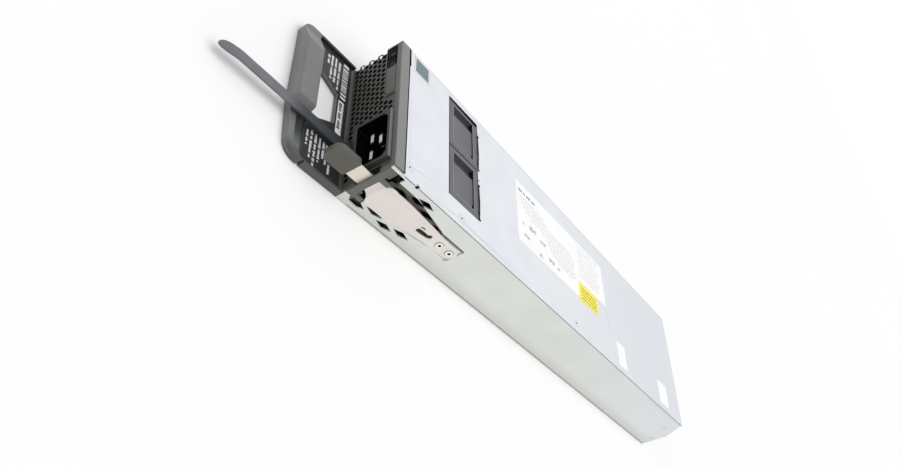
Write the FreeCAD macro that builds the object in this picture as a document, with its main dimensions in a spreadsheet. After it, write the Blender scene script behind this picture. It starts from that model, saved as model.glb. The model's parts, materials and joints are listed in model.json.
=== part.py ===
import FreeCAD, Part
import math
import os
from types import SimpleNamespace

import Sketcher
from FreeCAD import Placement, Rotation, Vector

# A hot swap server power supply of one rack unit: a long sheet-metal housing with two fans, an
# AC inlet, a honeycomb front, a moulded carrying handle, a sprung side latch and a cord strap.
#
# Frame: X runs across the housing, towards the latch side. Y runs from the front face to the rear.
# Z runs up from the outer face of the floor. The origin is the middle of the floor's front edge.
# All lengths are in millimetres.

SIZES = {
    # Housing of folded sheet
    "body_width": 101.6,
    "body_height": 40.0,
    "body_length": 371.0,
    "sheet": 1.0,
    "seat_gap": 0.2,
    "cover_setback": 10.4,
    "rear_face_height": 21.0,
    "flange_width": 9.0,
    "narrow_flange_width": 3.4,
    "tongue_length": 9.0,
    "tongue_width": 60.0,
    # Cover details
    "window_width": 81.2,
    "window_front": 45.7,
    "window_length": 29.9,
    "lip_length": 26.0,
    "lip_depth": 2.0,
    "lip_relief": 1.2,
    "tooth_width": 3.0,
    "tooth_length": 0.8,
    "front_screw_inset": 8.0,
    "cover_screw_inset": 5.4,
    "front_screw_reach": 11.4,
    "middle_screw_reach": 58.1,
    "rear_screw_reach": 188.8,
    "seam_notch_reach": 19.1,
    "screw_head_radius": 2.4,
    "screw_shank_radius": 1.2,
    "screw_length": 2.5,
    # Front bezel and grille
    "bezel_depth": 7.2,
    "rail_height": 3.4,
    "sill_height": 1.4,
    "panel_depth": 2.4,
    "lamp_panel_length": 42.0,
    "lamp_panel_height": 8.2,
    "lamp_width": 6.6,
    "lamp_height": 5.4,
    "lamp_gap": 1.6,
    "lamp_inset": 3.4,
    "lamp_thickness": 1.4,
    "bridge_depth": 4.6,
    "bridge_thickness": 1.2,
    "bridge_bottom": 6.8,
    "bridge_headroom": 2.7,
    "prong_height": 3.0,
    "prong_gap": 0.8,
    "grille_thickness": 1.4,
    "grille_setback": 1.0,
    "cell_pitch": 4.0,
    "cell_width": 3.1,
    "grille_return": 8.4,
    "latch_bay_width": 6.0,
    "latch_bay_bottom": 12.2,
    "latch_bay_top": 29.6,
    # AC inlet
    "inlet_margin": 26.45,
    "inlet_lift": 10.4,
    "inlet_headroom": 0.3,
    "socket_width": 32.1,
    "socket_depth": 19.0,
    "socket_chamfer": 3.0,
    "inlet_wall": 2.0,
    "inlet_proud": 2.0,
    "inlet_back": 3.0,
    "blade_pitch": 12.6,
    "blade_offset": 7.9,
    "earth_rise": 5.2,
    "blade_width": 8.0,
    "blade_thickness": 2.0,
    "blade_recess": 4.0,
    "earth_lead": 2.0,
    "tab_length": 7.0,
    "tab_thickness": 0.8,
    # Handle
    "handle_reach": 43.0,
    "handle_right_reach": 40.0,
    "handle_rim_height": 4.6,
    "handle_rim": 1.6,
    "handle_floor": 2.4,
    "pocket_floor": 1.4,
    "label_seat_length": 30.0,
    "grip_top": 10.0,
    "grip_left": 31.0,
    "grip_left_foot": 45.4,
    "grip_right": 14.0,
    "grip_slope": 3.4,
    "finger_wide": 44.4,
    "finger_narrow": 23.4,
    "finger_length": 19.6,
    "finger_offset": 6.7,
    "finger_corner": 3.7,
    "underside_depth": 1.2,
    "underside_width": 56.0,
    "underside_length": 30.0,
    "underside_offset": 12.0,
    "rim_notch_depth": 1.4,
    "rim_notch_length": 2.4,
    "left_corner_radius": 8.0,
    "right_corner_radius": 10.0,
    "grip_edge_radius": 1.2,
    "handle_screw_spacing": 44.0,
    # Latch
    "leaf_thickness": 0.8,
    "leaf_height": 19.7,
    "leaf_neck_half": 5.1,
    "leaf_root_half": 5.7,
    "leaf_shoulder_down": 10.8,
    "leaf_shoulder_up": 8.2,
    "leaf_shoulder_start": 11.4,
    "leaf_shoulder_end": 27.2,
    "leaf_length": 78.4,
    "foot_length": 20.4,
    "leaf_reach": 9.4,
    "leaf_step": 1.7,
    "flex_gap": 0.3,
    "ear_length": 6.4,
    "ear_rise": 1.0,
    "ear_proud": 1.0,
    "recess_depth": 4.2,
    "recess_clearance": 0.3,
    "foot_clearance": 0.1,
    "slot_front_width": 5.4,
    "slot_rear_width": 1.8,
    "rivet_head_radius": 2.4,
    "rivet_head_thickness": 0.5,
    "rivet_shank_radius": 1.3,
    "rivet_bore_radius": 0.7,
    "rear_rivet_inset": 4.7,
    "rivet_pitch": 9.1,
    "hook_slot_length": 8.6,
    "hook_slot_width": 2.0,
    "hook_slot_setback": 6.8,
    "pad_length": 16.8,
    "pad_height": 13.4,
    "pad_thickness": 3.4,
    "pad_nose_radius": 4.2,
    "pad_corner_radius": 1.5,
    "pad_grip": 2.2,
    # Side perforation
    "diamond_length": 13.2,
    "diamond_height": 4.2,
    "diamond_pitch": 22.4,
    "diamond_row_rise": 2.95,
    "diamond_front": 10.6,
    "diamond_low": 4.9,
    "front_hole_start": 3.8,
    "front_hole_low": 3.2,
    "front_hole_length": 12.8,
    "front_hole_height": 5.0,
    # Cord strap
    "strap_width": 7.2,
    "strap_thickness": 1.4,
    "strap_middle": 22.6,
    "strap_height": 7.2,
    "strap_straight": 74.5,
    "strap_rise": 0.9,
    "strap_tip_length": 11.8,
    "strap_tip_fall": 2.2,
    "strap_root_width": 9.0,
    "strap_root_height": 4.2,
    "strap_root_length": 4.2,
    "ridge_pitch": 1.6,
    "ridge_height": 0.5,
    # Fans
    "fan_clearance": 0.2,
    "fan_depth": 28.0,
    "fan_spacing": 40.3,
    "fan_side_gap": 1.2,
    "fan_side_share": 0.16,
    "fan_skin": 1.6,
    "fan_flange": 4.0,
    "fan_recess": 0.6,
    "fan_left_rail": 3.3,
    "fan_right_rail": 5.3,
    "fan_low_rail": 1.2,
    "fan_channel_width": 7.6,
    "fan_channel_depth": 3.0,
    "fan_gusset": 4.6,
    "rotor_tip_gap": 0.5,
    "rotor_length": 20.0,
    "hub_radius": 10.6,
    "hub_wall": 1.2,
    "blade_skin": 0.9,
    "strut_width": 3.0,
    "strut_depth": 2.4,
    "tube_radius": 3.2,
    "tube_wall": 0.8,
    "shaft_radius": 1.5,
    "bearing_clearance": 0.05,
    "bearing_length": 3.0,
    "stator_radius": 8.4,
    "stator_length": 9.0,
    # Boards and their supports
    "board_thickness": 1.6,
    "board_lift": 4.0,
    "board_edge_gap": 2.4,
    "board_start": 82.0,
    "board_rear_gap": 19.0,
    "standoff_radius": 2.6,
    "board_screw_radius": 1.4,
    "board_screw_head": 2.6,
    "board_screw_head_height": 1.6,
    "liner_thickness": 0.3,
    "filter_board_start": 10.5,
    "filter_board_length": 34.0,
    "filter_board_overhang": 12.25,
    "filter_part_inset": 3.5,
    "lamp_board_depth": 8.0,
    # Parts on the boards
    "filter_capacitor_width": 10.0,
    "filter_capacitor_length": 24.0,
    "filter_capacitor_height": 18.0,
    "filter_choke_radius": 10.0,
    "filter_choke_bore": 4.6,
    "filter_choke_height": 11.0,
    "fuse_radius": 2.9,
    "fuse_length": 20.0,
    "rectifier_length": 25.0,
    "rectifier_height": 22.0,
    "rectifier_thickness": 4.6,
    "relay_length": 20.0,
    "relay_width": 10.0,
    "relay_height": 15.0,
    "boost_choke_radius": 15.0,
    "boost_choke_bore": 7.0,
    "boost_choke_height": 14.0,
    "winding_thickness": 2.0,
    "bulk_capacitor_radius": 12.5,
    "tall_part_headroom": 3.4,
    "sink_width": 20.0,
    "sink_web": 3.0,
    "sink_fin": 1.4,
    "transistor_height": 20.0,
    "transistor_thickness": 4.8,
    "transformer_length": 42.0,
    "transformer_width": 38.0,
    "transformer_side_gap": 1.4,
    "transformer_leg": 8.0,
    "inductor_radius": 11.0,
    "inductor_bore": 5.0,
    "inductor_height": 12.0,
    "output_capacitor_radius": 4.0,
    "output_capacitor_height": 16.0,
    "output_capacitor_pitch": 9.4,
    "bar_width": 14.0,
    "bar_thickness": 1.6,
    "bar_length": 34.0,
    "bar_rear_gap": 12.2,
    "card_length": 56.0,
    "card_height": 24.0,
    "connector_width": 64.0,
    "connector_height": 12.0,
    "connector_depth": 14.0,
    "connector_proud": 5.0,
    "contact_pitch": 5.0,
    "contact_width": 2.4,
    "contact_thickness": 1.0,
    "lead_radius": 1.3,
    "lead_landing": 35.5,
    "lamp_lead_radius": 0.8,
    "lamp_lead_sweep": 12.0,
    "lamp_lead_pitch": 4.5,
    "blade_count": 7,
    "output_capacitor_count": 8,
}

doc = FreeCAD.newDocument("hot_swap_supply")
sheet = doc.addObject("Spreadsheet::Sheet", "Sizes")
for row, (alias, number) in enumerate(SIZES.items(), start=1):
    sheet.set(f"A{row}", alias)
    sheet.set(f"B{row}", str(number))
    sheet.setAlias(f"B{row}", alias)
doc.recompute()


# ---------------------------------------------------------------- sizes bound to the sheet

class Size:
    """A length that carries both its number and the sheet expression that gives it."""

    def __init__(self, number, text):
        self.number = float(number)
        self.text = text

    def __float__(self):
        return self.number

    def __neg__(self):
        return Size(-self.number, f"(0 - {self.text})")

    def __add__(self, other):
        other = as_size(other)
        return Size(self.number + other.number, f"({self.text} + {other.text})")

    def __sub__(self, other):
        other = as_size(other)
        return Size(self.number - other.number, f"({self.text} - {other.text})")

    def __mul__(self, other):
        other = as_size(other)
        return Size(self.number * other.number, f"({self.text} * {other.text})")

    def __truediv__(self, other):
        other = as_size(other)
        return Size(self.number / other.number, f"({self.text} / {other.text})")

    def __radd__(self, other):
        return as_size(other) + self

    def __rsub__(self, other):
        return as_size(other) - self

    def __rmul__(self, other):
        return as_size(other) * self


def as_size(value):
    if isinstance(value, Size):
        return value
    return Size(value, f"({float(value)!r})")


def bind(thing, path, value):
    """Tie one property of a document object to the sheet."""
    thing.setExpression(path, as_size(value).text)


d = SimpleNamespace(**{alias: Size(sheet.get(alias), f"Sizes.{alias}") for alias in SIZES})

# Planes and lines that several sub-parts share
half_width = d.body_width / 2
inner_side = half_width - d.sheet
cover_bottom = d.body_height - d.sheet
cover_rear = d.body_length - d.cover_setback
cover_front = d.bezel_depth + d.seat_gap
flange_bottom = cover_bottom - d.sheet
grille_front = d.grille_setback
grille_back = d.grille_setback + d.grille_thickness
rail_bottom = d.body_height - d.rail_height
sill_top = d.sheet + d.sill_height
lamp_panel_right = -half_width + d.lamp_panel_length
lamp_panel_bottom = rail_bottom - d.lamp_panel_height
bridge_top = d.body_height - d.bridge_headroom
inlet_across = half_width - d.inlet_margin
inlet_top = rail_bottom - d.inlet_headroom
inlet_up = (inlet_top + d.inlet_lift) / 2
socket_height = inlet_top - d.inlet_lift - d.inlet_wall * 2
leaf_outside = half_width
leaf_inside = half_width - d.leaf_thickness
board_bottom = d.sheet + d.board_lift
board_top = board_bottom + d.board_thickness
board_half = inner_side - d.board_edge_gap
board_end = d.body_length - d.board_rear_gap
tall_part_height = cover_bottom - board_top - d.tall_part_headroom

# The fans share the room between the tray's left flange and the latch bay
fan_size = d.body_height - d.fan_clearance * 2
fan_bore_radius = fan_size / 2 - d.fan_skin
fan_room_left = d.narrow_flange_width - inner_side
fan_room_right = inner_side - d.recess_depth - d.sheet
fans_width = d.fan_spacing + fan_size
fans_left = fan_room_left + (fan_room_right - fan_room_left - fans_width) * d.fan_side_share
fans_middle = fans_left + fans_width / 2
window_middle = fans_middle - d.fan_side_gap / 2

# The latch leaf bends in front of its riveted foot
leaf_flex_reach = d.leaf_length - d.foot_length
hook_slot_reach = leaf_flex_reach - d.hook_slot_setback
rear_rivet_reach = d.leaf_length - d.rear_rivet_inset
rivet_reaches = (rear_rivet_reach - d.rivet_pitch, rear_rivet_reach)

NODES = []


# ---------------------------------------------------------------- building blocks

def keep(thing, label):
    """Name a finished sub-part and put it on the list of nodes."""
    thing.Label = label
    NODES.append(thing)
    return thing


def span(middle, length):
    """Low and high ends of a length set about its middle."""
    return middle - length / 2, middle + length / 2


def at(thing, x, y, z):
    """Bind the place of an object's own origin."""
    bind(thing, "Placement.Base.x", x)
    bind(thing, "Placement.Base.y", y)
    bind(thing, "Placement.Base.z", z)
    return thing


def box(name, x, y, z):
    """A block between a low and a high value on each axis."""
    block = doc.addObject("Part::Box", name)
    bind(block, "Length", as_size(x[1]) - x[0])
    bind(block, "Width", as_size(y[1]) - y[0])
    bind(block, "Height", as_size(z[1]) - z[0])
    return at(block, x[0], y[0], z[0])


TURNS = {
    "x": Rotation(Vector(0, 1, 0), 90),
    "y": Rotation(Vector(1, 0, 0), -90),
    "z": Rotation(),
}


def cylinder(name, radius, length, start, axis):
    """A round bar that starts at a point and runs along X, Y or Z."""
    bar = doc.addObject("Part::Cylinder", name)
    bar.Placement = Placement(Vector(), TURNS[axis])
    bind(bar, "Radius", radius)
    bind(bar, "Height", length)
    return at(bar, *start)


def cone(name, radius_start, radius_end, length, start, axis):
    """A tapered round bar, for countersinks and screw heads."""
    bar = doc.addObject("Part::Cone", name)
    bar.Placement = Placement(Vector(), TURNS[axis])
    bind(bar, "Radius1", radius_start)
    bind(bar, "Radius2", radius_end)
    bind(bar, "Height", length)
    return at(bar, *start)


def joined(name, pieces):
    """Fuse several pieces into one solid."""
    whole = doc.addObject("Part::MultiFuse", name)
    whole.Shapes = pieces
    return whole


def grouped(name, pieces):
    """Hold several separate solids in one object."""
    group = doc.addObject("Part::Compound", name)
    group.Links = pieces
    return group


def carved(name, base, tools):
    """Cut one or more tools out of a base."""
    result = doc.addObject("Part::Cut", name)
    result.Base = base
    result.Tool = tools[0] if len(tools) == 1 else grouped(name + "_tools", tools)
    return result


def plane_of(body, role):
    """One of a body's own origin planes or axes."""
    return next(feature for feature in body.Origin.OriginFeatures if feature.Role == role)


def sketch_on(body, name, role, offset):
    """An empty sketch on one of the body's origin planes, moved along the plane's normal."""
    sketch = body.newObject("Sketcher::SketchObject", name)
    sketch.AttachmentSupport = (plane_of(body, role), [""])
    sketch.MapMode = "FlatFace"
    bind(sketch, "AttachmentOffset.Base.z", offset)
    return sketch


def pin_point(sketch, curve, vertex, across, up):
    """Fix a point of a sketch curve by its two distances from the sketch's origin."""
    for kind, value in (("DistanceX", across), ("DistanceY", up)):
        constraint = Sketcher.Constraint(kind, -1, 1, curve, vertex, float(as_size(value)))
        index = sketch.addConstraint(constraint)
        bind(sketch, f"Constraints[{index}]", value)


def draw_outline(sketch, corners):
    """A closed outline of straight lines through fully constrained corners."""
    points = [Vector(float(as_size(across)), float(as_size(up)), 0) for across, up in corners]
    count = len(points)
    first = sketch.GeometryCount
    for index in range(count):
        line = Part.LineSegment(points[index], points[(index + 1) % count])
        sketch.addGeometry(line, False)
    for index in range(count):
        following = first + (index + 1) % count
        sketch.addConstraint(Sketcher.Constraint("Coincident", first + index, 2, following, 1))
    for index, (across, up) in enumerate(corners):
        pin_point(sketch, first + index, 1, across, up)


def draw_circle(sketch, across, up, radius):
    """A circle with its centre and its radius constrained."""
    centre = Vector(float(as_size(across)), float(as_size(up)), 0)
    curve = sketch.addGeometry(Part.Circle(centre, Vector(0, 0, 1), float(radius)), False)
    pin_point(sketch, curve, 3, across, up)
    index = sketch.addConstraint(Sketcher.Constraint("Radius", curve, float(radius)))
    bind(sketch, f"Constraints[{index}]", radius)


def pad(body, sketch, length):
    feature = body.newObject("PartDesign::Pad", sketch.Name + "_pad")
    feature.Profile = sketch
    bind(feature, "Length", length)
    body.Tip = feature
    return feature


def pocket(body, sketch, length):
    feature = body.newObject("PartDesign::Pocket", sketch.Name + "_pocket")
    feature.Profile = sketch
    bind(feature, "Length", length)
    body.Tip = feature
    return feature


def prism(name, plane, corners, low, high):
    """A straight-sided block: an outline in one plane, run from a low to a high value.

    On XY the outline's corners are (x, y), on XZ they are (x, z) and on YZ they are (y, z).
    """
    low, high = as_size(low), as_size(high)
    body = doc.addObject("PartDesign::Body", name)
    offset = -high if plane == "XZ" else low
    sketch = sketch_on(body, name + "_outline", plane + "_Plane", offset)
    draw_outline(sketch, corners)
    pad(body, sketch, high - low)
    return body


def turned(name, corners):
    """A round piece about Z: an outline of (radius, height) corners, turned once round."""
    body = doc.addObject("PartDesign::Body", name)
    sketch = sketch_on(body, name + "_outline", "XZ_Plane", 0)
    draw_outline(sketch, corners)
    feature = body.newObject("PartDesign::Revolution", name + "_turn")
    feature.Profile = sketch
    feature.ReferenceAxis = (sketch, ["V_Axis"])
    feature.Angle = 360
    body.Tip = feature
    return body


def round_edges(body, name, radius, wanted):
    """Fillet the edges of a body that a test picks out."""
    doc.recompute()
    base = body.Tip
    edges = enumerate(base.Shape.Edges, start=1)
    names = [f"Edge{index}" for index, edge in edges if wanted(edge)]
    feature = body.newObject("PartDesign::Fillet", name)
    feature.Base = (base, names)
    bind(feature, "Radius", radius)
    body.Tip = feature
    return feature


def is_upright(edge):
    """True for a straight edge along Z."""
    if not isinstance(edge.Curve, Part.Line):
        return False
    ends = [vertex.Point for vertex in edge.Vertexes]
    return abs(ends[0].x - ends[1].x) + abs(ends[0].y - ends[1].y) < 1e-6


# ---------------------------------------------------------------- latch outline, shared by leaf and recess

def leaf_corners(grow, foot_grow, slot_front, slot_rear):
    """Outline of the latch leaf in (y, z), grown by a margin and opened along its upper edge.

    The riveted foot has a closer margin of its own.
    """
    low = d.leaf_height - grow
    high = d.leaf_height + grow
    foot_low = d.leaf_height - d.leaf_root_half - foot_grow
    foot_end = d.leaf_length + foot_grow
    return [
        (d.leaf_shoulder_start - grow, low - d.leaf_shoulder_down),
        (d.leaf_shoulder_end, low - d.leaf_shoulder_down),
        (leaf_flex_reach, foot_low),
        (foot_end, foot_low),
        (foot_end, high + d.leaf_root_half + slot_rear),
        (leaf_flex_reach, high + d.leaf_root_half + slot_rear),
        (d.leaf_shoulder_end, high + d.leaf_shoulder_up + slot_front),
        (d.leaf_shoulder_start - grow, high + d.leaf_shoulder_up + slot_front),
    ]


# ---------------------------------------------------------------- housing

def diamond(row, column, low, high):
    """One lozenge of the staggered field, its long way along Y, cut between two values of X."""
    station = d.diamond_front + d.diamond_pitch * (column + 0.5 * (row % 2))
    height = d.diamond_low + d.diamond_row_rise * row
    corners = [
        (station - d.diamond_length / 2, height),
        (station, height - d.diamond_height / 2),
        (station + d.diamond_length / 2, height),
        (station, height + d.diamond_height / 2),
    ]
    return prism(f"diamond_{row}_{column}", "YZ", corners, low, high)


def front_side_hole(low, high):
    """The six-sided hole at the front end of the lozenge field, cut between two values of X."""
    start, length = d.front_hole_start, d.front_hole_length
    foot, height = d.front_hole_low, d.front_hole_height
    return prism("front_side_hole", "YZ", [
        (start, foot + height * 0.64),
        (start + length * 0.12, foot + height),
        (start + length * 0.53, foot + height * 0.88),
        (start + length, foot + height * 0.36),
        (start + length * 0.7, foot),
        (start + length * 0.16, foot + height * 0.08),
    ], low, high)


def side_holes():
    """The holes of the latch side: some through the wall, the others in the bay's floor only."""
    recess_floor = inner_side - d.recess_depth
    low = recess_floor - d.sheet * 2
    through = [(0, 1), (1, 0), (1, 1), (10, 1)]
    in_the_bay = [(row, column) for row in (6, 7, 8, 9) for column in (0, 1, 2)]
    holes = [front_side_hole(low, half_width + d.sheet)]
    holes += [diamond(row, column, low, half_width + d.sheet) for row, column in through]
    holes += [diamond(row, column, low, recess_floor + d.sheet / 2) for row, column in in_the_bay]
    return holes


def base_tray():
    """Floor, two side walls, rear wall and top flanges, with the sunk bay of the latch."""
    rear_inside = d.body_length - d.sheet
    wall_left_front = d.grille_setback + d.grille_return + d.seat_gap
    whole_length = (0, d.body_length)
    floor = box("floor", (-half_width, half_width), whole_length, (0, d.sheet))
    tongue = box("tongue", span(0, d.tongue_width), (-d.tongue_length, d.sheet), (0, d.sheet))

    def side_outline(front):
        return [
            (front, 0),
            (d.body_length, 0),
            (d.body_length, d.rear_face_height),
            (cover_rear, cover_bottom),
            (front, cover_bottom),
        ]

    left_wall = prism("left_wall", "YZ", side_outline(wall_left_front), -half_width, -inner_side)
    right_wall = prism("right_wall", "YZ", side_outline(0), inner_side, half_width)
    rear_outline = [
        (rear_inside, 0),
        (d.body_length, 0),
        (d.body_length, d.rear_face_height),
        (cover_rear, cover_bottom),
        (cover_rear - d.sheet, cover_bottom),
        (rear_inside, d.rear_face_height - d.sheet / 2),
    ]
    rear_wall = prism("rear_wall", "YZ", rear_outline, -half_width, half_width)
    flange_y = (cover_front, cover_rear - d.sheet)
    flange_z = (flange_bottom, cover_bottom)
    right_flange = box("right_flange", (inner_side - d.flange_width, half_width), flange_y, flange_z)
    left_flange_y = (wall_left_front, cover_rear - d.sheet)
    left_flange_x = (-half_width, d.narrow_flange_width - inner_side)
    left_flange = box("left_flange", left_flange_x, left_flange_y, flange_z)

    recess_floor = inner_side - d.recess_depth
    shell_low = recess_floor - d.sheet
    shell = prism(
        "recess_shell", "YZ",
        leaf_corners(d.recess_clearance + d.sheet, d.foot_clearance + d.sheet,
                     d.slot_front_width, d.slot_rear_width),
        shell_low, inner_side,
    )
    open_outline = leaf_corners(d.recess_clearance, d.foot_clearance,
                                d.slot_front_width, d.slot_rear_width)
    hollow = prism("recess_hollow", "YZ", open_outline, recess_floor, half_width + d.sheet)
    seat = box(
        "rivet_seat",
        (recess_floor, leaf_inside),
        (leaf_flex_reach + d.flex_gap, d.leaf_length),
        span(d.leaf_height, d.leaf_root_half * 2),
    )
    front_of_shell = box(
        "latch_mouth",
        (shell_low - d.sheet, half_width + d.sheet),
        (-d.sheet, d.leaf_shoulder_start),
        (d.bridge_bottom, bridge_top),
    )
    window = box(
        "floor_window",
        span(window_middle, d.window_width),
        (d.window_front, d.window_front + d.window_length),
        (-d.sheet, d.sheet * 2),
    )
    connector_window = box(
        "connector_window",
        span(0, d.connector_width + d.seat_gap),
        (rear_inside - d.sheet, d.body_length + d.sheet),
        (board_bottom - d.seat_gap, board_bottom + d.connector_height + d.seat_gap),
    )
    screw_holes = [
        cylinder(f"cover_thread_{index}", d.screw_shank_radius, d.sheet * 3,
                 (across, along, flange_bottom - d.sheet), "z")
        for index, (across, along) in enumerate(cover_screw_places())
    ]
    tongue_holes = [
        cone(f"tongue_hole_{index}", d.screw_head_radius, d.screw_shank_radius, d.sheet,
             (side * d.handle_screw_spacing / 2, -d.tongue_length / 2, 0), "z")
        for index, side in enumerate((-1, 1))
    ]
    rivet_holes = [
        cylinder(f"rivet_hole_{index}", d.rivet_shank_radius, d.recess_depth + d.sheet * 4,
                 (shell_low - d.sheet, station, d.leaf_height), "x")
        for index, station in enumerate(rivet_reaches)
    ]
    walls = joined("tray_walls", [
        floor, tongue, left_wall, right_wall, rear_wall, right_flange, left_flange, shell,
    ])
    opened = carved("tray_opened", walls, [hollow])
    seated = joined("tray_seated", [opened, seat])
    cuts = [front_of_shell, window, connector_window]
    tray = carved("base_tray", seated, cuts + screw_holes + tongue_holes + rivet_holes + side_holes())
    keep(tray, "base_tray")


def cover_screw_places():
    """Across and along places of the screws down the latch side of the cover."""
    return [
        (half_width - d.front_screw_inset, d.front_screw_reach),
        (half_width - d.cover_screw_inset, d.middle_screw_reach),
        (half_width - d.cover_screw_inset, d.rear_screw_reach),
    ]


def top_cover():
    """Flat lid with a window over the fans, turned-down lips and a toothed rear edge."""
    plate = box("cover_plate", (-half_width, half_width), (cover_front, cover_rear),
                (cover_bottom, d.body_height))
    window_y = (d.window_front, d.window_front + d.window_length)
    window = box("cover_window", span(window_middle, d.window_width), window_y,
                 (cover_bottom - d.sheet, d.body_height + d.sheet))
    lips = []
    reliefs = []
    for side, middle in enumerate(fan_middles()):
        lip_x = span(middle, d.lip_length)
        lip_z = (cover_bottom - d.lip_depth, cover_bottom)
        lips.append(box(f"rear_lip_{side}", lip_x, (window_y[1], window_y[1] + d.sheet), lip_z))
        for end in (0, 1):
            relief_x = span(lip_x[end], d.lip_relief)
            relief_y = (window_y[1], window_y[1] + d.lip_relief)
            relief_z = (cover_bottom - d.lip_depth - d.sheet, d.body_height + d.sheet)
            reliefs.append(box(f"lip_relief_{side}_{end}", relief_x, relief_y, relief_z))
    teeth = []
    tooth_count = 7
    tooth_pitch = d.body_width / (tooth_count + 3)
    for index in range(tooth_count):
        tooth_x = span(tooth_pitch * (index + 1) - half_width, d.tooth_width)
        tooth_y = (cover_rear, cover_rear + d.tooth_length)
        teeth.append(box(f"rear_tooth_{index}", tooth_x, tooth_y, (cover_bottom, d.body_height)))
    sinks = []
    for index, (across, along) in enumerate(cover_screw_places()):
        start = (across, along, cover_bottom)
        sinks.append(cone(f"cover_sink_{index}", d.screw_shank_radius, d.screw_head_radius,
                          d.sheet, start, "z"))
    notch = box("seam_notch", (half_width - d.sheet, half_width + d.sheet),
                span(d.seam_notch_reach, d.lip_relief * 2), (cover_bottom - d.sheet, d.body_height + d.sheet))
    solid = joined("cover_solid", [plate] + lips + teeth)
    keep(carved("top_cover", solid, [window, notch] + reliefs + sinks), "top_cover")


def cover_screws():
    """Three countersunk screws along the latch side of the cover."""
    screws = []
    for index, (across, along) in enumerate(cover_screw_places()):
        shank = cylinder(f"cover_shank_{index}", d.screw_shank_radius, d.screw_length,
                         (across, along, cover_bottom - d.screw_length), "z")
        head = cone(f"cover_head_{index}", d.screw_shank_radius, d.screw_head_radius,
                    d.sheet, (across, along, cover_bottom), "z")
        screws.append(joined(f"cover_screw_{index}", [shank, head]))
    keep(grouped("cover_screws", screws), "cover_screws")


# ---------------------------------------------------------------- front

def lamp_spans():
    """Across and up ranges of the two indicator windows."""
    first = -half_width + d.lamp_inset
    second = first + d.lamp_width + d.lamp_gap
    middle = lamp_panel_bottom + d.lamp_panel_height / 2
    up = span(middle, d.lamp_height)
    return [((start, start + d.lamp_width), up) for start in (first, second)]


def front_bezel():
    """Moulded frame: top rail, sill, lamp panel, and the bridge over the latch with its prongs."""
    right_end = inner_side - d.seat_gap
    rail = box("bezel_rail", (-half_width, right_end), (0, d.bezel_depth), (rail_bottom, d.body_height))
    sill = box("bezel_sill", (-half_width, right_end), (0, d.bezel_depth), (d.sheet, sill_top))
    panel = box("lamp_panel", (-half_width, lamp_panel_right), (0, d.panel_depth),
                (lamp_panel_bottom, rail_bottom))
    cheek = box("bezel_cheek", (-half_width, d.panel_depth - half_width),
                (0, grille_front + d.grille_return), (lamp_panel_bottom, cover_bottom - d.seat_gap))
    post = box("bezel_post", (right_end - d.panel_depth, right_end), (0, d.bezel_depth),
               (d.latch_bay_top, rail_bottom))
    low_post = box("bezel_low_post", (right_end - d.panel_depth, right_end), (0, d.bezel_depth),
                   (sill_top, d.latch_bay_bottom))
    bridge_x = (half_width - d.bridge_thickness, half_width)
    bridge_z = (d.bridge_bottom + d.seat_gap, bridge_top - d.seat_gap)
    bridge = box("latch_bridge", bridge_x, (0, d.bridge_depth), bridge_z)
    neck_top = d.leaf_height + d.leaf_neck_half
    prong_y = (d.bridge_depth, d.leaf_shoulder_start - d.prong_gap)
    prongs = [
        box("low_prong", bridge_x, prong_y, (bridge_z[0], bridge_z[0] + d.prong_height)),
        box("high_prong", bridge_x, prong_y,
            (neck_top + d.prong_gap, neck_top + d.prong_gap + d.prong_height)),
    ]
    openings = [
        box(f"lamp_opening_{index}", across, (-d.sheet, d.lamp_thickness), up)
        for index, (across, up) in enumerate(lamp_spans())
    ]
    pipes = [
        box(f"pipe_opening_{index}", span((across[0] + across[1]) / 2, d.lamp_width / 2),
            (0, d.panel_depth * 2), span((up[0] + up[1]) / 2, d.lamp_height / 2))
        for index, (across, up) in enumerate(lamp_spans())
    ]
    frame = joined("bezel_frame", [rail, sill, panel, cheek, post, low_post, bridge] + prongs)
    keep(carved("front_bezel", frame, openings + pipes), "front_bezel")


def lamp_windows():
    """Two smoked windows with the light pipes behind them."""
    windows = []
    for index, (across, up) in enumerate(lamp_spans()):
        face = box(f"lamp_face_{index}", across, (d.lamp_thickness / 2, d.lamp_thickness), up)
        pipe = box(f"lamp_pipe_{index}", span((across[0] + across[1]) / 2, d.lamp_width / 2),
                   (d.lamp_thickness, d.lamp_board_depth), span((up[0] + up[1]) / 2, d.lamp_height / 2))
        windows.append(joined(f"lamp_window_{index}", [face, pipe]))
    keep(grouped("lamp_windows", windows), "lamp_windows")


def lamp_board():
    """Small board behind the windows that carries the indicator lamps."""
    across = (d.panel_depth + d.seat_gap - half_width, lamp_panel_right)
    keep(box("lamp_board", across, (d.lamp_board_depth, d.lamp_board_depth + d.board_thickness),
             (lamp_panel_bottom, rail_bottom)), "lamp_board")


def hexagon(centre, radius, to_space):
    """A six-cornered wire with two corners up and down, placed by a plane's own mapping."""
    corners = []
    for index in range(7):
        angle = math.radians(60 * index + 30)
        corners.append(to_space(centre[0] + radius * math.cos(angle), centre[1] + radius * math.sin(angle)))
    return Part.makePolygon(corners)


def cell_centres(low, high, bottom, top, pitch):
    """Centres of a honeycomb whose rows run across, as many as the field holds."""
    rise = pitch * math.sqrt(3) / 2
    rows = int((top - bottom) / rise) + 1
    columns = int((high - low) / pitch) + 1
    for row in range(rows):
        for column in range(columns):
            yield low + pitch * (column + 0.5 * (row % 2)), bottom + rise * row


def clear_of(centre, margin, area):
    """True when a cell stays a margin away from a rectangular area."""
    (low, high), (bottom, top) = area
    outside_across = centre[0] < low - margin or centre[0] > high + margin
    outside_up = centre[1] < bottom - margin or centre[1] > top + margin
    return outside_across or outside_up


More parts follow.
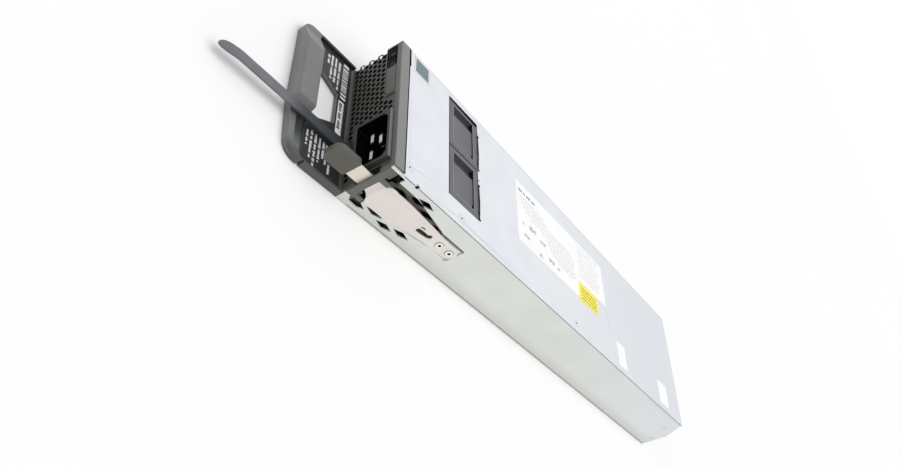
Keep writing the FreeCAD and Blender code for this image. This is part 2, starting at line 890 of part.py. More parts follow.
def inlet_outer():
    """Across and up ranges of the inlet's outer wall."""
    across = span(inlet_across, d.socket_width + d.inlet_wall * 2)
    return across, (d.inlet_lift, inlet_top)


def front_grille():
    """Honeycomb panel across the front, wrapped round the corner that has no latch."""
    left = float(-half_width)
    right = float(inner_side - d.seat_gap - d.panel_depth)
    bottom, top = float(sill_top), float(rail_bottom)
    front, back = float(grille_front), float(grille_back)
    pitch = float(d.cell_pitch)
    radius = float(d.cell_width) / math.sqrt(3)
    margin = radius + 0.5
    lamp_area = ((left, float(lamp_panel_right)), (float(lamp_panel_bottom), top))
    across, up = inlet_outer()
    gap = float(d.seat_gap) / 2
    inlet_area = ((float(across[0]) - gap, float(across[1]) + gap), (float(up[0]) - gap, float(up[1]) + gap))
    bay_left = right + float(d.panel_depth) - float(d.latch_bay_width)
    bay_area = ((bay_left, right + pitch), (float(d.latch_bay_bottom), float(d.latch_bay_top)))

    def block(area, low_y, high_y):
        (low, high), (bottom_edge, top_edge) = area
        return Part.makeBox(high - low, high_y - low_y, top_edge - bottom_edge,
                            Vector(low, low_y, bottom_edge))

    panel = block(((left, right), (bottom, top)), front, back)
    wrap_depth = float(d.grille_return)
    wrap_top = lamp_area[1][0]
    wrap = block(((left, left + float(d.grille_thickness)), (bottom, wrap_top)), front, front + wrap_depth)
    shell = panel.fuse(wrap).removeSplitter()
    for area in (lamp_area, inlet_area, bay_area):
        shell = shell.cut(block(area, front - 1, back + 0.001))

    first_row = bottom + margin + 0.2
    front_cells = []
    for centre in cell_centres(left, right, first_row, top - margin, pitch):
        at_corner = centre[0] < left + 0.1
        inside = centre[0] < right - margin and centre[1] < top - margin
        if not inside or not clear_of(centre, 0 if at_corner else margin, lamp_area):
            continue
        if clear_of(centre, margin, lamp_area) and clear_of(centre, margin, inlet_area):
            if clear_of(centre, margin, bay_area):
                front_cells.append(centre)

    def on_front(across_value, up_value):
        return Vector(across_value, front - 1, up_value)

    def on_side(across_value, up_value):
        return Vector(left - 1, across_value, up_value)

    tools = []
    for centre in front_cells:
        face = Part.Face(hexagon(centre, radius, on_front))
        tools.append(face.extrude(Vector(0, back - front + 1.5, 0)))
    for centre in cell_centres(front, front + wrap_depth - margin, first_row, wrap_top - margin, pitch):
        if centre[0] < front + wrap_depth - margin and centre[1] < wrap_top - margin:
            face = Part.Face(hexagon(centre, radius, on_side))
            tools.append(face.extrude(Vector(float(d.grille_thickness) + 1.5, 0, 0)))
    grille = doc.addObject("Part::Feature", "front_grille")
    grille.Shape = shell.cut(Part.makeCompound(tools))
    keep(grille, "front_grille")


# ---------------------------------------------------------------- AC inlet

def inlet_blades():
    """Across and up places of the line, neutral and earth blades, and how far each comes forward."""
    live_height = inlet_up + d.earth_rise - d.blade_offset
    front = d.blade_recess - d.inlet_proud
    return [
        (inlet_across - d.blade_pitch / 2, live_height, front),
        (inlet_across + d.blade_pitch / 2, live_height, front),
        (inlet_across, inlet_up + d.earth_rise, front - d.earth_lead),
    ]


def ac_inlet():
    """Deep socket for a heavy-duty line cord, its shroud standing proud of the grille."""
    across, up = inlet_outer()
    front = -d.inlet_proud
    socket_back = front + d.socket_depth
    body = box("inlet_body", across, (front, socket_back + d.inlet_back), up)
    low_x, high_x = span(inlet_across, d.socket_width)
    low_z, high_z = span(inlet_up, socket_height)
    cut = d.socket_chamfer
    socket_outline = [
        (low_x, low_z),
        (high_x, low_z),
        (high_x, high_z - cut),
        (high_x - cut, high_z),
        (low_x + cut, high_z),
        (low_x, high_z - cut),
    ]
    socket = prism("inlet_socket", "XZ", socket_outline, front - d.sheet, socket_back)
    collar = box("inlet_collar", (across[0] - d.sheet, across[1] + d.sheet),
                 (grille_back, grille_back + d.inlet_wall), (up[0] - d.sheet, up[1]))
    slots = [
        box(f"blade_slot_{index}", span(place, d.blade_width), (front, socket_back + d.inlet_back * 2),
            span(height, d.blade_thickness))
        for index, (place, height, _) in enumerate(inlet_blades())
    ]
    solid = joined("inlet_solid", [body, collar])
    keep(carved("ac_inlet", solid, [socket] + slots), "ac_inlet")


def inlet_contacts():
    """Line, neutral and earth blades, each with a narrow tab at the back for its lead."""
    blades = []
    back = d.socket_depth - d.inlet_proud + d.inlet_back
    for index, (place, height, front) in enumerate(inlet_blades()):
        blade = box(f"blade_{index}", span(place, d.blade_width), (front, back),
                    span(height, d.blade_thickness))
        tab = box(f"tab_{index}", span(place, d.blade_width / 2), (back, back + d.tab_length),
                  span(height, d.tab_thickness))
        blades.append(joined(f"inlet_blade_{index}", [blade, tab]))
    keep(grouped("inlet_contacts", blades), "inlet_contacts")


# ---------------------------------------------------------------- handle

def handle():
    """Moulded carrying handle: a rimmed tray with a grip bar in front of a finger opening."""
    body = doc.addObject("PartDesign::Body", "handle")
    rear = -d.seat_gap
    front = -d.handle_reach
    grip_back = -d.label_seat_length
    outline = sketch_on(body, "handle_outline", "XY_Plane", 0)
    draw_outline(outline, [
        (-half_width, rear),
        (-half_width, front),
        (d.grip_right + d.grip_slope, front),
        (half_width, -d.handle_right_reach),
        (half_width, rear),
    ])
    pad(body, outline, d.grip_top)

    def near_front_corner(edge):
        return is_upright(edge) and edge.Vertexes[0].Point.y < -float(d.handle_right_reach) + 0.5

    def left_corner(edge):
        return near_front_corner(edge) and edge.Vertexes[0].Point.x < -float(half_width) + 0.5

    def right_corner(edge):
        return near_front_corner(edge) and edge.Vertexes[0].Point.x > float(half_width) - 0.5

    round_edges(body, "handle_left_corner", d.left_corner_radius, left_corner)
    round_edges(body, "handle_right_corner", d.right_corner_radius, right_corner)

    behind_grip = sketch_on(body, "behind_grip", "XY_Plane", d.grip_top)
    draw_outline(behind_grip, [
        (-d.body_width, grip_back),
        (d.body_width, grip_back),
        (d.body_width, d.sheet),
        (-d.body_width, d.sheet),
    ])
    pocket(body, behind_grip, d.grip_top - d.handle_rim_height)

    above = d.grip_top + d.sheet
    left_of_grip = sketch_on(body, "left_of_grip", "XZ_Plane", d.handle_reach + d.sheet)
    draw_outline(left_of_grip, [
        (-d.body_width, d.handle_rim_height),
        (-d.grip_left_foot, d.handle_rim_height),
        (-d.grip_left, d.grip_top),
        (-d.grip_left, above),
        (-d.body_width, above),
    ])
    pocket(body, left_of_grip, d.handle_reach)
    right_of_grip = sketch_on(body, "right_of_grip", "XZ_Plane", d.handle_reach + d.sheet)
    draw_outline(right_of_grip, [
        (d.body_width, d.handle_rim_height),
        (d.body_width, above),
        (d.grip_right, above),
        (d.grip_right, d.grip_top),
        (d.grip_right + d.grip_slope, d.handle_rim_height),
    ])
    pocket(body, right_of_grip, d.handle_reach)

    seat = sketch_on(body, "label_seat", "XY_Plane", d.handle_rim_height)
    inner = half_width - d.handle_rim
    draw_outline(seat, [
        (-inner, rear + d.sheet),
        (-inner, grip_back),
        (inner, grip_back),
        (inner, rear + d.sheet),
    ])
    pocket(body, seat, d.handle_rim_height - d.handle_floor)

    well = sketch_on(body, "side_pocket", "XY_Plane", d.handle_rim_height)
    well_left = d.grip_right + d.grip_slope
    well_front = d.handle_rim - d.handle_right_reach + d.sheet
    well_corner = d.right_corner_radius - d.handle_rim * 2
    draw_outline(well, [
        (well_left, grip_back),
        (well_left, well_front - d.sheet),
        (inner - well_corner, well_front),
        (inner, well_front + well_corner),
        (inner, grip_back),
    ])
    pocket(body, well, d.handle_rim_height - d.pocket_floor)

    underside = sketch_on(body, "underside", "XY_Plane", d.underside_depth)
    underside_x = span(-d.underside_offset, d.underside_width)
    underside_y = (-d.underside_length - d.tongue_length - d.sheet, -d.tongue_length - d.sheet)
    draw_outline(underside, [
        (underside_x[0], underside_y[0]),
        (underside_x[1], underside_y[0]),
        (underside_x[1], underside_y[1]),
        (underside_x[0], underside_y[1]),
    ])
    pocket(body, underside, d.underside_depth * 2)

    opening = sketch_on(body, "finger_opening", "XY_Plane", d.handle_rim_height)
    opening_rear = grip_back + d.finger_length
    wide = span(-d.finger_offset, d.finger_wide)
    narrow = span(-d.finger_offset, d.finger_narrow)
    corner_shift = d.finger_corner * (d.finger_wide - d.finger_narrow) / (d.finger_length * 2)
    draw_outline(opening, [
        (wide[0], grip_back),
        (narrow[0], opening_rear),
        (narrow[1], opening_rear),
        (wide[1] - corner_shift, grip_back + d.finger_corner),
        (wide[1] - d.finger_corner * 2, grip_back),
    ])
    pocket(body, opening, d.handle_rim_height * 2)

    notch = sketch_on(body, "rim_notch", "XY_Plane", d.handle_rim_height)
    notch_y = span(grip_back + d.sheet / 2, d.rim_notch_length)
    draw_outline(notch, [
        (half_width + d.sheet, notch_y[0]),
        (half_width + d.sheet, notch_y[1]),
        (half_width - d.rim_notch_depth, notch_y[1]),
        (half_width - d.rim_notch_depth, notch_y[1] - d.rim_notch_length / 3),
    ])
    pocket(body, notch, d.handle_rim_height * 2)

    tongue = sketch_on(body, "tongue_seat", "XY_Plane", d.sheet)
    draw_outline(tongue, [
        (-d.tongue_width / 2 - d.seat_gap, d.sheet),
        (-d.tongue_width / 2 - d.seat_gap, -d.tongue_length - d.seat_gap),
        (d.tongue_width / 2 + d.seat_gap, -d.tongue_length - d.seat_gap),
        (d.tongue_width / 2 + d.seat_gap, d.sheet),
    ])
    pocket(body, tongue, d.sheet * 2)

    holes = sketch_on(body, "handle_screw_holes", "XY_Plane", d.handle_rim_height)
    for side in (-1, 1):
        draw_circle(holes, side * d.handle_screw_spacing / 2, -d.tongue_length / 2, d.screw_shank_radius)
    pocket(body, holes, d.handle_rim_height * 2)

    def grip_edge(edge):
        high = all(vertex.Point.z > float(d.grip_top) - 0.01 for vertex in edge.Vertexes)
        return high and len(edge.Vertexes) == 2

    round_edges(body, "grip_rounding", d.grip_edge_radius, grip_edge)
    keep(body, "handle")


def handle_screws():
    """Two screws that hold the handle to the tray's tongue from below."""
    screws = []
    for index, side in enumerate((-1, 1)):
        place = side * d.handle_screw_spacing / 2
        shank = cylinder(f"handle_shank_{index}", d.screw_shank_radius, d.handle_floor - d.sheet,
                         (place, -d.tongue_length / 2, d.sheet), "z")
        head = cone(f"handle_head_{index}", d.screw_head_radius, d.screw_shank_radius, d.sheet,
                    (place, -d.tongue_length / 2, 0), "z")
        screws.append(joined(f"handle_screw_{index}", [shank, head]))
    keep(grouped("handle_screws", screws), "handle_screws")


# ---------------------------------------------------------------- latch

def leaf_profile(front, rear):
    """Side profile of the leaf in (x, y): flat along the wall, then stepped in under the bridge."""
    step_start = d.leaf_shoulder_start - d.sheet
    step_end = step_start - d.leaf_step
    inside = leaf_inside - d.leaf_step
    outside = leaf_outside - d.leaf_step
    return [
        (leaf_outside, rear),
        (leaf_outside, step_start),
        (outside, step_end),
        (outside, front),
        (inside, front),
        (inside, step_end),
        (leaf_inside, step_start),
        (leaf_inside, rear),
    ]


def latch_spring():
    """Moving part of the leaf spring, from the thumb pad back to its bend line."""
    strip = prism("leaf_strip", "XY", leaf_profile(-d.leaf_reach, leaf_flex_reach),
                  d.leaf_height - d.leaf_shoulder_down, d.leaf_height + d.leaf_shoulder_up)
    neck_low, neck_high = span(d.leaf_height, d.leaf_neck_half * 2)
    low = d.leaf_height - d.leaf_shoulder_down
    high = d.leaf_height + d.leaf_shoulder_up
    shape = prism("leaf_shape", "YZ", [
        (-d.leaf_reach, neck_low),
        (d.leaf_shoulder_start, neck_low),
        (d.leaf_shoulder_start, low),
        (d.leaf_shoulder_end, low),
        (leaf_flex_reach, d.leaf_height - d.leaf_root_half),
        (leaf_flex_reach, d.leaf_height + d.leaf_root_half),
        (d.leaf_shoulder_end, high),
        (d.leaf_shoulder_start, high),
        (d.leaf_shoulder_start, neck_high),
        (-d.leaf_reach, neck_high),
    ], leaf_inside - d.recess_depth, half_width + d.sheet)
    blank = doc.addObject("Part::MultiCommon", "leaf_blank")
    blank.Shapes = [strip, shape]
    ear_y = (d.leaf_shoulder_start, d.leaf_shoulder_start + d.ear_length)
    ear = prism("leaf_ear", "XZ", [
        (leaf_inside, high - d.pad_grip),
        (leaf_outside, high - d.pad_grip),
        (leaf_outside + d.ear_proud, high + d.ear_rise),
        (leaf_inside + d.ear_proud, high + d.ear_rise),
    ], ear_y[0], ear_y[1])
    slot = box("hook_slot", (leaf_inside - d.sheet, half_width + d.sheet),
               span(hook_slot_reach, d.hook_slot_length - d.hook_slot_width),
               span(d.leaf_height - d.hook_slot_width / 2, d.hook_slot_width))
    ends = [
        cylinder(f"hook_slot_end_{index}", d.hook_slot_width / 2, d.sheet * 3,
                 (leaf_inside - d.sheet,
                  hook_slot_reach + side * (d.hook_slot_length - d.hook_slot_width) / 2,
                  d.leaf_height - d.hook_slot_width / 2), "x")
        for index, side in enumerate((-1, 1))
    ]
    whole = joined("leaf_whole", [blank, ear])
    keep(carved("latch_spring", whole, [slot] + ends), "latch_spring")


def latch_spring_foot():
    """Fixed end of the same leaf, riveted into the sunk bay."""
    low, high = span(d.leaf_height, d.leaf_root_half * 2)
    front = leaf_flex_reach + d.flex_gap
    corner = d.leaf_root_half / 2
    foot = prism("foot_plate", "YZ", [
        (front, low),
        (d.leaf_length - corner, low),
        (d.leaf_length, low + corner),
        (d.leaf_length, high - corner),
        (d.leaf_length - corner, high),
        (front, high),
    ], leaf_inside, leaf_outside)
    holes = [
        cylinder(f"foot_hole_{index}", d.rivet_shank_radius, d.sheet * 3,
                 (leaf_inside - d.sheet, station, d.leaf_height), "x")
        for index, station in enumerate(rivet_reaches)
    ]
    keep(carved("latch_spring_foot", foot, holes), "latch_spring_foot")


def latch_rivets():
    """Two tubular rivets with broad flat heads."""
    rivets = []
    shank_start = inner_side - d.recess_depth - d.sheet
    for index, station in enumerate(rivet_reaches):
        start = (shank_start, station, d.leaf_height)
        shank = cylinder(f"rivet_shank_{index}", d.rivet_shank_radius, leaf_outside - shank_start,
                         start, "x")
        head = cylinder(f"rivet_head_{index}", d.rivet_head_radius, d.rivet_head_thickness,
                        (leaf_outside, station, d.leaf_height), "x")
        bore = cylinder(f"rivet_bore_{index}", d.rivet_bore_radius, d.leaf_thickness * 2,
                        (leaf_outside - d.leaf_thickness, station, d.leaf_height), "x")
        rivet = joined(f"rivet_{index}", [shank, head])
        rivets.append(carved(f"latch_rivet_{index}", rivet, [bore]))
    keep(grouped("latch_rivets", rivets), "latch_rivets")


def latch_thumb_pad():
    """Moulded pad on the leaf's front end, pressed towards the inlet to free the latch."""
    body = doc.addObject("PartDesign::Body", "latch_thumb_pad")
    outside = leaf_outside - d.leaf_step + d.leaf_thickness
    front = -d.leaf_reach - d.pad_length
    low, high = span(d.leaf_height, d.pad_height)
    sketch = sketch_on(body, "pad_outline", "YZ_Plane", outside - d.pad_thickness)
    draw_outline(sketch, [(front, low), (-d.leaf_reach, low), (-d.leaf_reach, high), (front, high)])
    pad(body, sketch, d.pad_thickness)

    def runs_through_at(station):
        def chosen(edge):
            ends = [vertex.Point for vertex in edge.Vertexes]
            along_x = len(ends) == 2 and abs(ends[0].z - ends[1].z) < 1e-6
            return along_x and all(abs(end.y - float(station)) < 1e-6 for end in ends)
        return chosen

    round_edges(body, "pad_nose", d.pad_nose_radius, runs_through_at(front))
    round_edges(body, "pad_corners", d.pad_corner_radius, runs_through_at(-d.leaf_reach))
    keep(body, "latch_thumb_pad")


# ---------------------------------------------------------------- cord strap

def strap_root():
    """Fixed anchor of the cord strap, a block moulded against the grille."""
    across = span(d.strap_middle, d.strap_root_width)
    up = span(d.strap_height, d.strap_root_height)
    keep(box("strap_root", across, (grille_front - d.strap_root_length - d.sheet, grille_front), up),
         "strap_root")


def cord_strap():
    """Flat nylon strap that ties the line cord: a rising run, a lowered tip and tip ridges."""
    top = d.strap_height + d.strap_thickness / 2
    low = d.strap_height - d.strap_thickness / 2
    rise = d.strap_rise
    root = grille_front - d.strap_root_length - d.sheet - d.flex_gap
    bend = root - d.strap_straight
    tip = bend - d.strap_tip_length
    fall = d.strap_tip_fall
    droop = fall / d.strap_tip_length
    strip = prism("strap_strip", "YZ", [
        (root, low),
        (root, top),
        (bend, top + rise),
        (tip, top + rise - fall),
        (tip, low + rise - fall),
        (bend, low + rise),
    ], d.strap_middle - d.strap_width / 2, d.strap_middle + d.strap_width / 2)
    ridges = []
    for index in range(6):
        back = bend - d.ridge_pitch * (index + 1)
        base = top + rise - d.ridge_pitch * (index + 1) * droop
        next_base = top + rise - d.ridge_pitch * (index + 1.6) * droop
        ridges.append(prism(f"strap_ridge_{index}", "YZ", [
            (back, base - d.ridge_height),
            (back, base + d.ridge_height),
            (back - d.ridge_pitch * 0.6, next_base - d.ridge_height),
        ], d.strap_middle - d.strap_width / 3, d.strap_middle + d.strap_width / 3))
    keep(joined("cord_strap", [strip] + ridges), "cord_strap")


# ---------------------------------------------------------------- fans

def fan_middles():
    """Where the two fans sit across the housing."""
    shift = d.fan_side_gap / 2
    return [window_middle + shift + side * d.fan_spacing / 2 for side in (-1, 1)]


fan_front = d.window_front + (d.window_length - d.fan_depth) / 2
fan_rear = fan_front + d.fan_depth
fan_axis_height = d.body_height / 2


def fan_frame(label, middle):
    """Square frame with a round duct, outer recesses, four struts and the bearing tube.

    The upper face has a shallow panel, a deeper channel along it and two gussets at the rear.
    """
    across = span(middle, fan_size)
    up = span(fan_axis_height, fan_size)
    block = box(label + "_block", across, (fan_front, fan_rear), up)
    duct = cylinder(label + "_duct", fan_bore_radius, d.fan_depth + d.sheet * 2,
                    (middle, fan_front - d.sheet, fan_axis_height), "y")
    recess_y = (fan_front + d.fan_flange, fan_rear - d.fan_flange)
    recess_x = (across[0] + d.fan_left_rail, across[1] - d.fan_right_rail)
    recess = box(label + "_recess", recess_x, recess_y, (up[1] - d.fan_recess, up[1] + d.sheet))
    low_recess = box(label + "_low_recess", (across[0] + d.fan_low_rail, across[1] - d.fan_low_rail),
                     recess_y, (up[0] - d.sheet, up[0] + d.fan_recess))
    channel_right = recess_x[0] + d.fan_channel_width
    channel = box(label + "_channel", (recess_x[0], channel_right), recess_y,
                  (up[1] - d.fan_channel_depth, up[1] + d.sheet))
    channel_gusset = prism(label + "_channel_gusset", "XY", [
        (channel_right - d.fan_gusset, recess_y[1]),
        (channel_right, recess_y[1]),
        (channel_right, recess_y[1] - d.fan_gusset),
    ], up[1] - d.fan_channel_depth - d.fan_recess, up[1] + d.sheet)
    panel_gusset = prism(label + "_panel_gusset", "XY", [
        (recess_x[1] - d.fan_gusset, recess_y[1]),
        (recess_x[1], recess_y[1]),
        (recess_x[1], recess_y[1] - d.fan_gusset / 2),
    ], up[1] - d.fan_recess * 2, up[1] + d.sheet)
    shell = carved(label + "_shell", block,
                   [duct, recess, low_recess, channel, channel_gusset, panel_gusset])

    strut_y = (fan_rear - d.strut_depth, fan_rear)
    reach = fan_bore_radius + d.fan_recess
    struts = [
        box(label + "_strut_across", span(middle, reach * 2), strut_y, span(fan_axis_height, d.strut_width)),
        box(label + "_strut_up", span(middle, d.strut_width), strut_y, span(fan_axis_height, reach * 2)),
    ]
    boss = cylinder(label + "_boss", d.hub_radius, d.strut_depth,
                    (middle, fan_rear - d.strut_depth, fan_axis_height), "y")
    tube_length = d.rotor_length - d.hub_wall * 2
    tube_start = fan_rear - d.strut_depth - tube_length
    tube = cylinder(label + "_tube", d.tube_radius, tube_length + d.strut_depth / 2,
                    (middle, tube_start, fan_axis_height), "y")
    bore = cylinder(label + "_bore", d.tube_radius - d.tube_wall, tube_length,
                    (middle, tube_start, fan_axis_height), "y")
    solid = joined(label + "_solid", [shell, boss, tube] + struts)
    keep(carved(label, solid, [bore]), label)


BLADE_ROOT_TURN = 38
BLADE_TIP_TURN = 56


def blade_section(radius, turn, chord, skin):
    """Curved cross-section of one fan blade at a radius, as a closed wire."""
    lean = math.radians(turn)
    camber = chord * 0.12

    def place(along, off):
        axial = along * math.cos(lean) - off * math.sin(lean)
        around = along * math.sin(lean) + off * math.cos(lean)
        return Vector(around, axial, radius)

    half = chord / 2
    lead, trail = place(-half, 0), place(half, 0)
    upper = Part.Arc(lead, place(0, camber + skin / 2), trail).toShape()
    lower = Part.Arc(trail, place(0, camber - skin / 2), lead).toShape()
    return Part.Wire([upper, lower])


def fan_rotor(label, middle):
    """Cup-shaped hub with its shaft and twisted blades."""
    hub = float(d.hub_radius)
    tip = float(fan_bore_radius - d.rotor_tip_gap)
    length = float(d.rotor_length)
    back = float(fan_rear - d.strut_depth) - 0.6
    front = back - length
    wall = float(d.hub_wall)
    axis_point = Vector(float(middle), 0, float(fan_axis_height))

    def drum(radius, low, high):
        start = Vector(axis_point.x, low, axis_point.z)
        return Part.makeCylinder(radius, high - low, start, Vector(0, 1, 0))

    cup = drum(hub, front, back).cut(drum(hub - wall, front + wall, back + 1))
    shaft = drum(float(d.shaft_radius), front + wall / 2, back - wall * 2)
    skin = float(d.blade_skin)
    chord = length * 0.98
    sections = [
        blade_section(hub - wall / 2, BLADE_ROOT_TURN, chord * 0.86, skin * 2),
        blade_section(tip + wall / 2, BLADE_TIP_TURN, chord, skin * 1.6),
    ]
    blade = Part.makeLoft(sections, True, True)
    blade = blade.common(Part.makeCylinder(tip, length * 2, Vector(0, -length, 0), Vector(0, 1, 0)))
    blade.translate(Vector(axis_point.x, (front + back) / 2, axis_point.z))
    count = int(float(d.blade_count))
    blades = []
    for index in range(count):
        turned_blade = blade.copy()
        turned_blade.rotate(axis_point, Vector(0, 1, 0), 360 * index / count)
        blades.append(turned_blade)
    core = drum(hub - wall / 2, front + wall / 2, back - 0.2)
    blades = [piece.cut(core) for piece in blades]
    rotor = doc.addObject("Part::Feature", label)
    rotor.Shape = cup.fuse([shaft] + blades).removeSplitter()
    keep(rotor, label)


def fan_bearings(label, middle):
    """Two plain bearings pressed into the ends of the fan's tube."""
    tube_length = d.rotor_length - d.hub_wall * 2
    tube_start = fan_rear - d.strut_depth - tube_length
    rings = []
    for index, start in enumerate((tube_start, fan_rear - d.strut_depth * 2 - d.bearing_length)):
        where = (middle, start, fan_axis_height)
        outer = cylinder(f"{label}_outer_{index}", d.tube_radius - d.tube_wall, d.bearing_length,
                         where, "y")
        inner = cylinder(f"{label}_inner_{index}", d.shaft_radius + d.bearing_clearance,
                         d.bearing_length, where, "y")
        rings.append(carved(f"{label}_ring_{index}", outer, [inner]))
    keep(grouped(label, rings), label)


def fan_stator(label, middle):
    """Wound core of the fan motor, pushed over the tube inside the hub."""
    start = fan_rear - d.strut_depth - d.stator_length - d.sheet
    where = (middle, start, fan_axis_height)
    outer = cylinder(label + "_outer", d.stator_radius, d.stator_length, where, "y")
    inner = cylinder(label + "_inner", d.tube_radius, d.stator_length, where, "y")
    keep(carved(label, outer, [inner]), label)


def fans():
    for side, middle in zip(("left", "right"), fan_middles()):
        fan_frame(f"fan_frame_{side}", middle)
        fan_rotor(f"fan_rotor_{side}", middle)
        fan_bearings(f"fan_bearings_{side}", middle)
        fan_stator(f"fan_stator_{side}", middle)


# ---------------------------------------------------------------- boards

filter_board_rear = d.filter_board_start + d.filter_board_length
filter_board_right = inlet_across + d.filter_board_overhang


def board_fixings():
    """Places of the screws: four on the main board, two on the filter board."""
    edge = d.standoff_radius * 2
    places = [
        (side * (board_half - edge), station)
        for station in (d.board_start + edge, board_end - edge)
        for side in (-1, 1)
    ]
    rear_row = filter_board_rear - d.board_screw_head - d.seat_gap * 2
    places += [(edge - board_half, rear_row), (filter_board_right - edge, rear_row)]
    return places


def drilled_board(label, across, along, fixings):
    plate = box(label + "_plate", across, along, (board_bottom, board_top))
    holes = [
        cylinder(f"{label}_hole_{index}", d.board_screw_radius, d.board_thickness * 3,
                 (place[0], place[1], board_bottom - d.board_thickness), "z")
        for index, place in enumerate(fixings)
    ]
    keep(carved(label, plate, holes), label)


def boards():
    fixings = board_fixings()
    main_across = (-board_half, board_half)
    drilled_board("main_board", main_across, (d.board_start, board_end), fixings[:4])
    filter_across = (-board_half, filter_board_right)
    drilled_board("filter_board", filter_across, (d.filter_board_start, filter_board_rear), fixings[4:])


def board_standoffs():
    """Threaded hexagon pillars between the floor and the boards."""
    pillars = []
    for index, (across, along) in enumerate(board_fixings()):
        pillar = doc.addObject("Part::Prism", f"pillar_{index}")
        pillar.Polygon = 6
        bind(pillar, "Circumradius", d.standoff_radius)
        bind(pillar, "Height", d.board_lift)
        at(pillar, across, along, d.sheet)
        bore = cylinder(f"pillar_bore_{index}", d.board_screw_radius, d.board_lift,
                        (across, along, d.sheet + d.seat_gap), "z")
        pillars.append(carved(f"standoff_{index}", pillar, [bore]))
    keep(grouped("board_standoffs", pillars), "board_standoffs")


def board_screws():
    """Pan-headed screws that hold the boards on their pillars."""
    screws = []
    for index, (across, along) in enumerate(board_fixings()):
        shank = cylinder(f"board_shank_{index}", d.board_screw_radius, d.board_thickness + d.board_lift / 2,
                         (across, along, board_bottom - d.board_lift / 2), "z")
        head = cylinder(f"board_head_{index}", d.board_screw_head, d.board_screw_head_height,
                        (across, along, board_top), "z")
        screws.append(joined(f"board_screw_{index}", [shank, head]))
    keep(grouped("board_screws", screws), "board_screws")


def floor_liner():
    """Insulating sheet on the floor below the main board."""
    sheet_plate = box("liner_plate", (-board_half, board_half), (d.board_start, board_end),
                      (d.sheet, d.sheet + d.liner_thickness))
    holes = [
        cylinder(f"liner_hole_{index}", d.standoff_radius + d.seat_gap, d.sheet * 3,
                 (across, along, 0), "z")
        for index, (across, along) in enumerate(board_fixings()[:4])
    ]
    keep(carved("floor_liner", sheet_plate, holes), "floor_liner")


# ---------------------------------------------------------------- parts on the boards

def standing_ring(label, radius, bore, height, across, along):
    """A flat wound core: the ring itself and its winding as a shell above and below."""
    core = turned(label + "_core", [(bore, 0), (radius, 0), (radius, height), (bore, height)])
    at(core, across, along, board_top + d.winding_thickness)
    keep(core, label + "_core")
    outer = radius + d.winding_thickness
    hole = bore - d.winding_thickness
    full = height + d.winding_thickness * 2
    blank = turned(label + "_coil_blank", [(hole, 0), (outer, 0), (outer, full), (hole, full)])
    at(blank, across, along, board_top)
    room = turned(label + "_coil_room", [(bore, 0), (radius, 0), (radius, height), (bore, height)])
    at(room, across, along, board_top + d.winding_thickness)
    keep(carved(label + "_winding", blank, [room]), label + "_winding")


def filter_parts():
    """Capacitors, choke and fuse of the line filter."""
    start = d.filter_board_start + d.filter_part_inset
    left = d.sheet - board_half
    capacitors = [
        box(f"filter_capacitor_{index}",
            (left + (d.filter_capacitor_width + d.sheet) * index,
             left + (d.filter_capacitor_width + d.sheet) * index + d.filter_capacitor_width),
            (start, start + d.filter_capacitor_length),
            (board_top + d.board_screw_head_height, board_top + d.filter_capacitor_height))
        for index in range(2)
    ]
    feet = [
        box(f"filter_capacitor_foot_{index}",
            span(left + (d.filter_capacitor_width + d.sheet) * index + d.filter_capacitor_width / 2, d.sheet),
            span(start + d.filter_capacitor_length * place, d.sheet),
            (board_top, board_top + d.board_screw_head_height))
        for index in range(2)
        for place in (0.15, 0.85)
    ]
    pairs = [joined(f"filter_capacitor_whole_{index}", [capacitors[index]] + feet[index * 2:index * 2 + 2])
             for index in range(2)]
    keep(grouped("filter_capacitors", pairs), "filter_capacitors")
    reach = d.filter_choke_radius + d.winding_thickness
    ring_across = left + (d.filter_capacitor_width + d.sheet) * 2 + reach
    standing_ring("filter_choke", d.filter_choke_radius, d.filter_choke_bore, d.filter_choke_height,
                  ring_across, filter_board_rear - reach)


def line_fuse():
    """Glass fuse with end caps, on the main board's front edge."""
    start = (-d.fuse_length / 2, d.board_start + d.fuse_radius + d.sheet, board_top + d.fuse_radius)
    keep(cylinder("line_fuse", d.fuse_radius, d.fuse_length, start, "x"), "line_fuse")


def rectifier_and_relay():
    along = d.board_start + d.fuse_radius * 2 + d.sheet * 4
    keep(box("bridge_rectifier", (d.sheet - board_half + d.standoff_radius * 4,
                                  d.sheet - board_half + d.standoff_radius * 4 + d.rectifier_length),
             (along, along + d.rectifier_thickness), (board_top, board_top + d.rectifier_height)),
         "bridge_rectifier")
    relay_start = along + d.rectifier_thickness + d.sheet * 2
    keep(box("inrush_relay", span(d.sheet * 2 - board_half / 2, d.relay_length),
             (relay_start, relay_start + d.relay_width), (board_top, board_top + d.relay_height)),
         "inrush_relay")
    ring_along = along + d.boost_choke_radius + d.winding_thickness
    standing_ring("boost_choke", d.boost_choke_radius, d.boost_choke_bore, d.boost_choke_height,
                  board_half / 2, ring_along)


bulk_station = d.board_start + d.boost_choke_radius * 2 + d.winding_thickness * 2 + d.fuse_radius * 2 + d.sheet * 8
bulk_rear = bulk_station + d.bulk_capacitor_radius * 4 + d.sheet
bar_front = board_end - d.bar_rear_gap - d.bar_length
output_front = bar_front - d.sheet * 2 - d.output_capacitor_radius * 2
transformer_rear = output_front - d.sheet * 4
transformer_front = transformer_rear - d.transformer_length
sink_front = bulk_rear + d.sheet * 3
sink_rear = transformer_front - d.sheet * 4
sink_height = tall_part_height - d.sheet
package_pitch = (sink_rear - sink_front) / 3
output_choke_reach = d.inductor_radius + d.winding_thickness
output_choke_across = board_half - d.sheet - output_choke_reach
transformer_right = output_choke_across - output_choke_reach - d.transformer_side_gap
transformer_across = transformer_right - d.transformer_width / 2


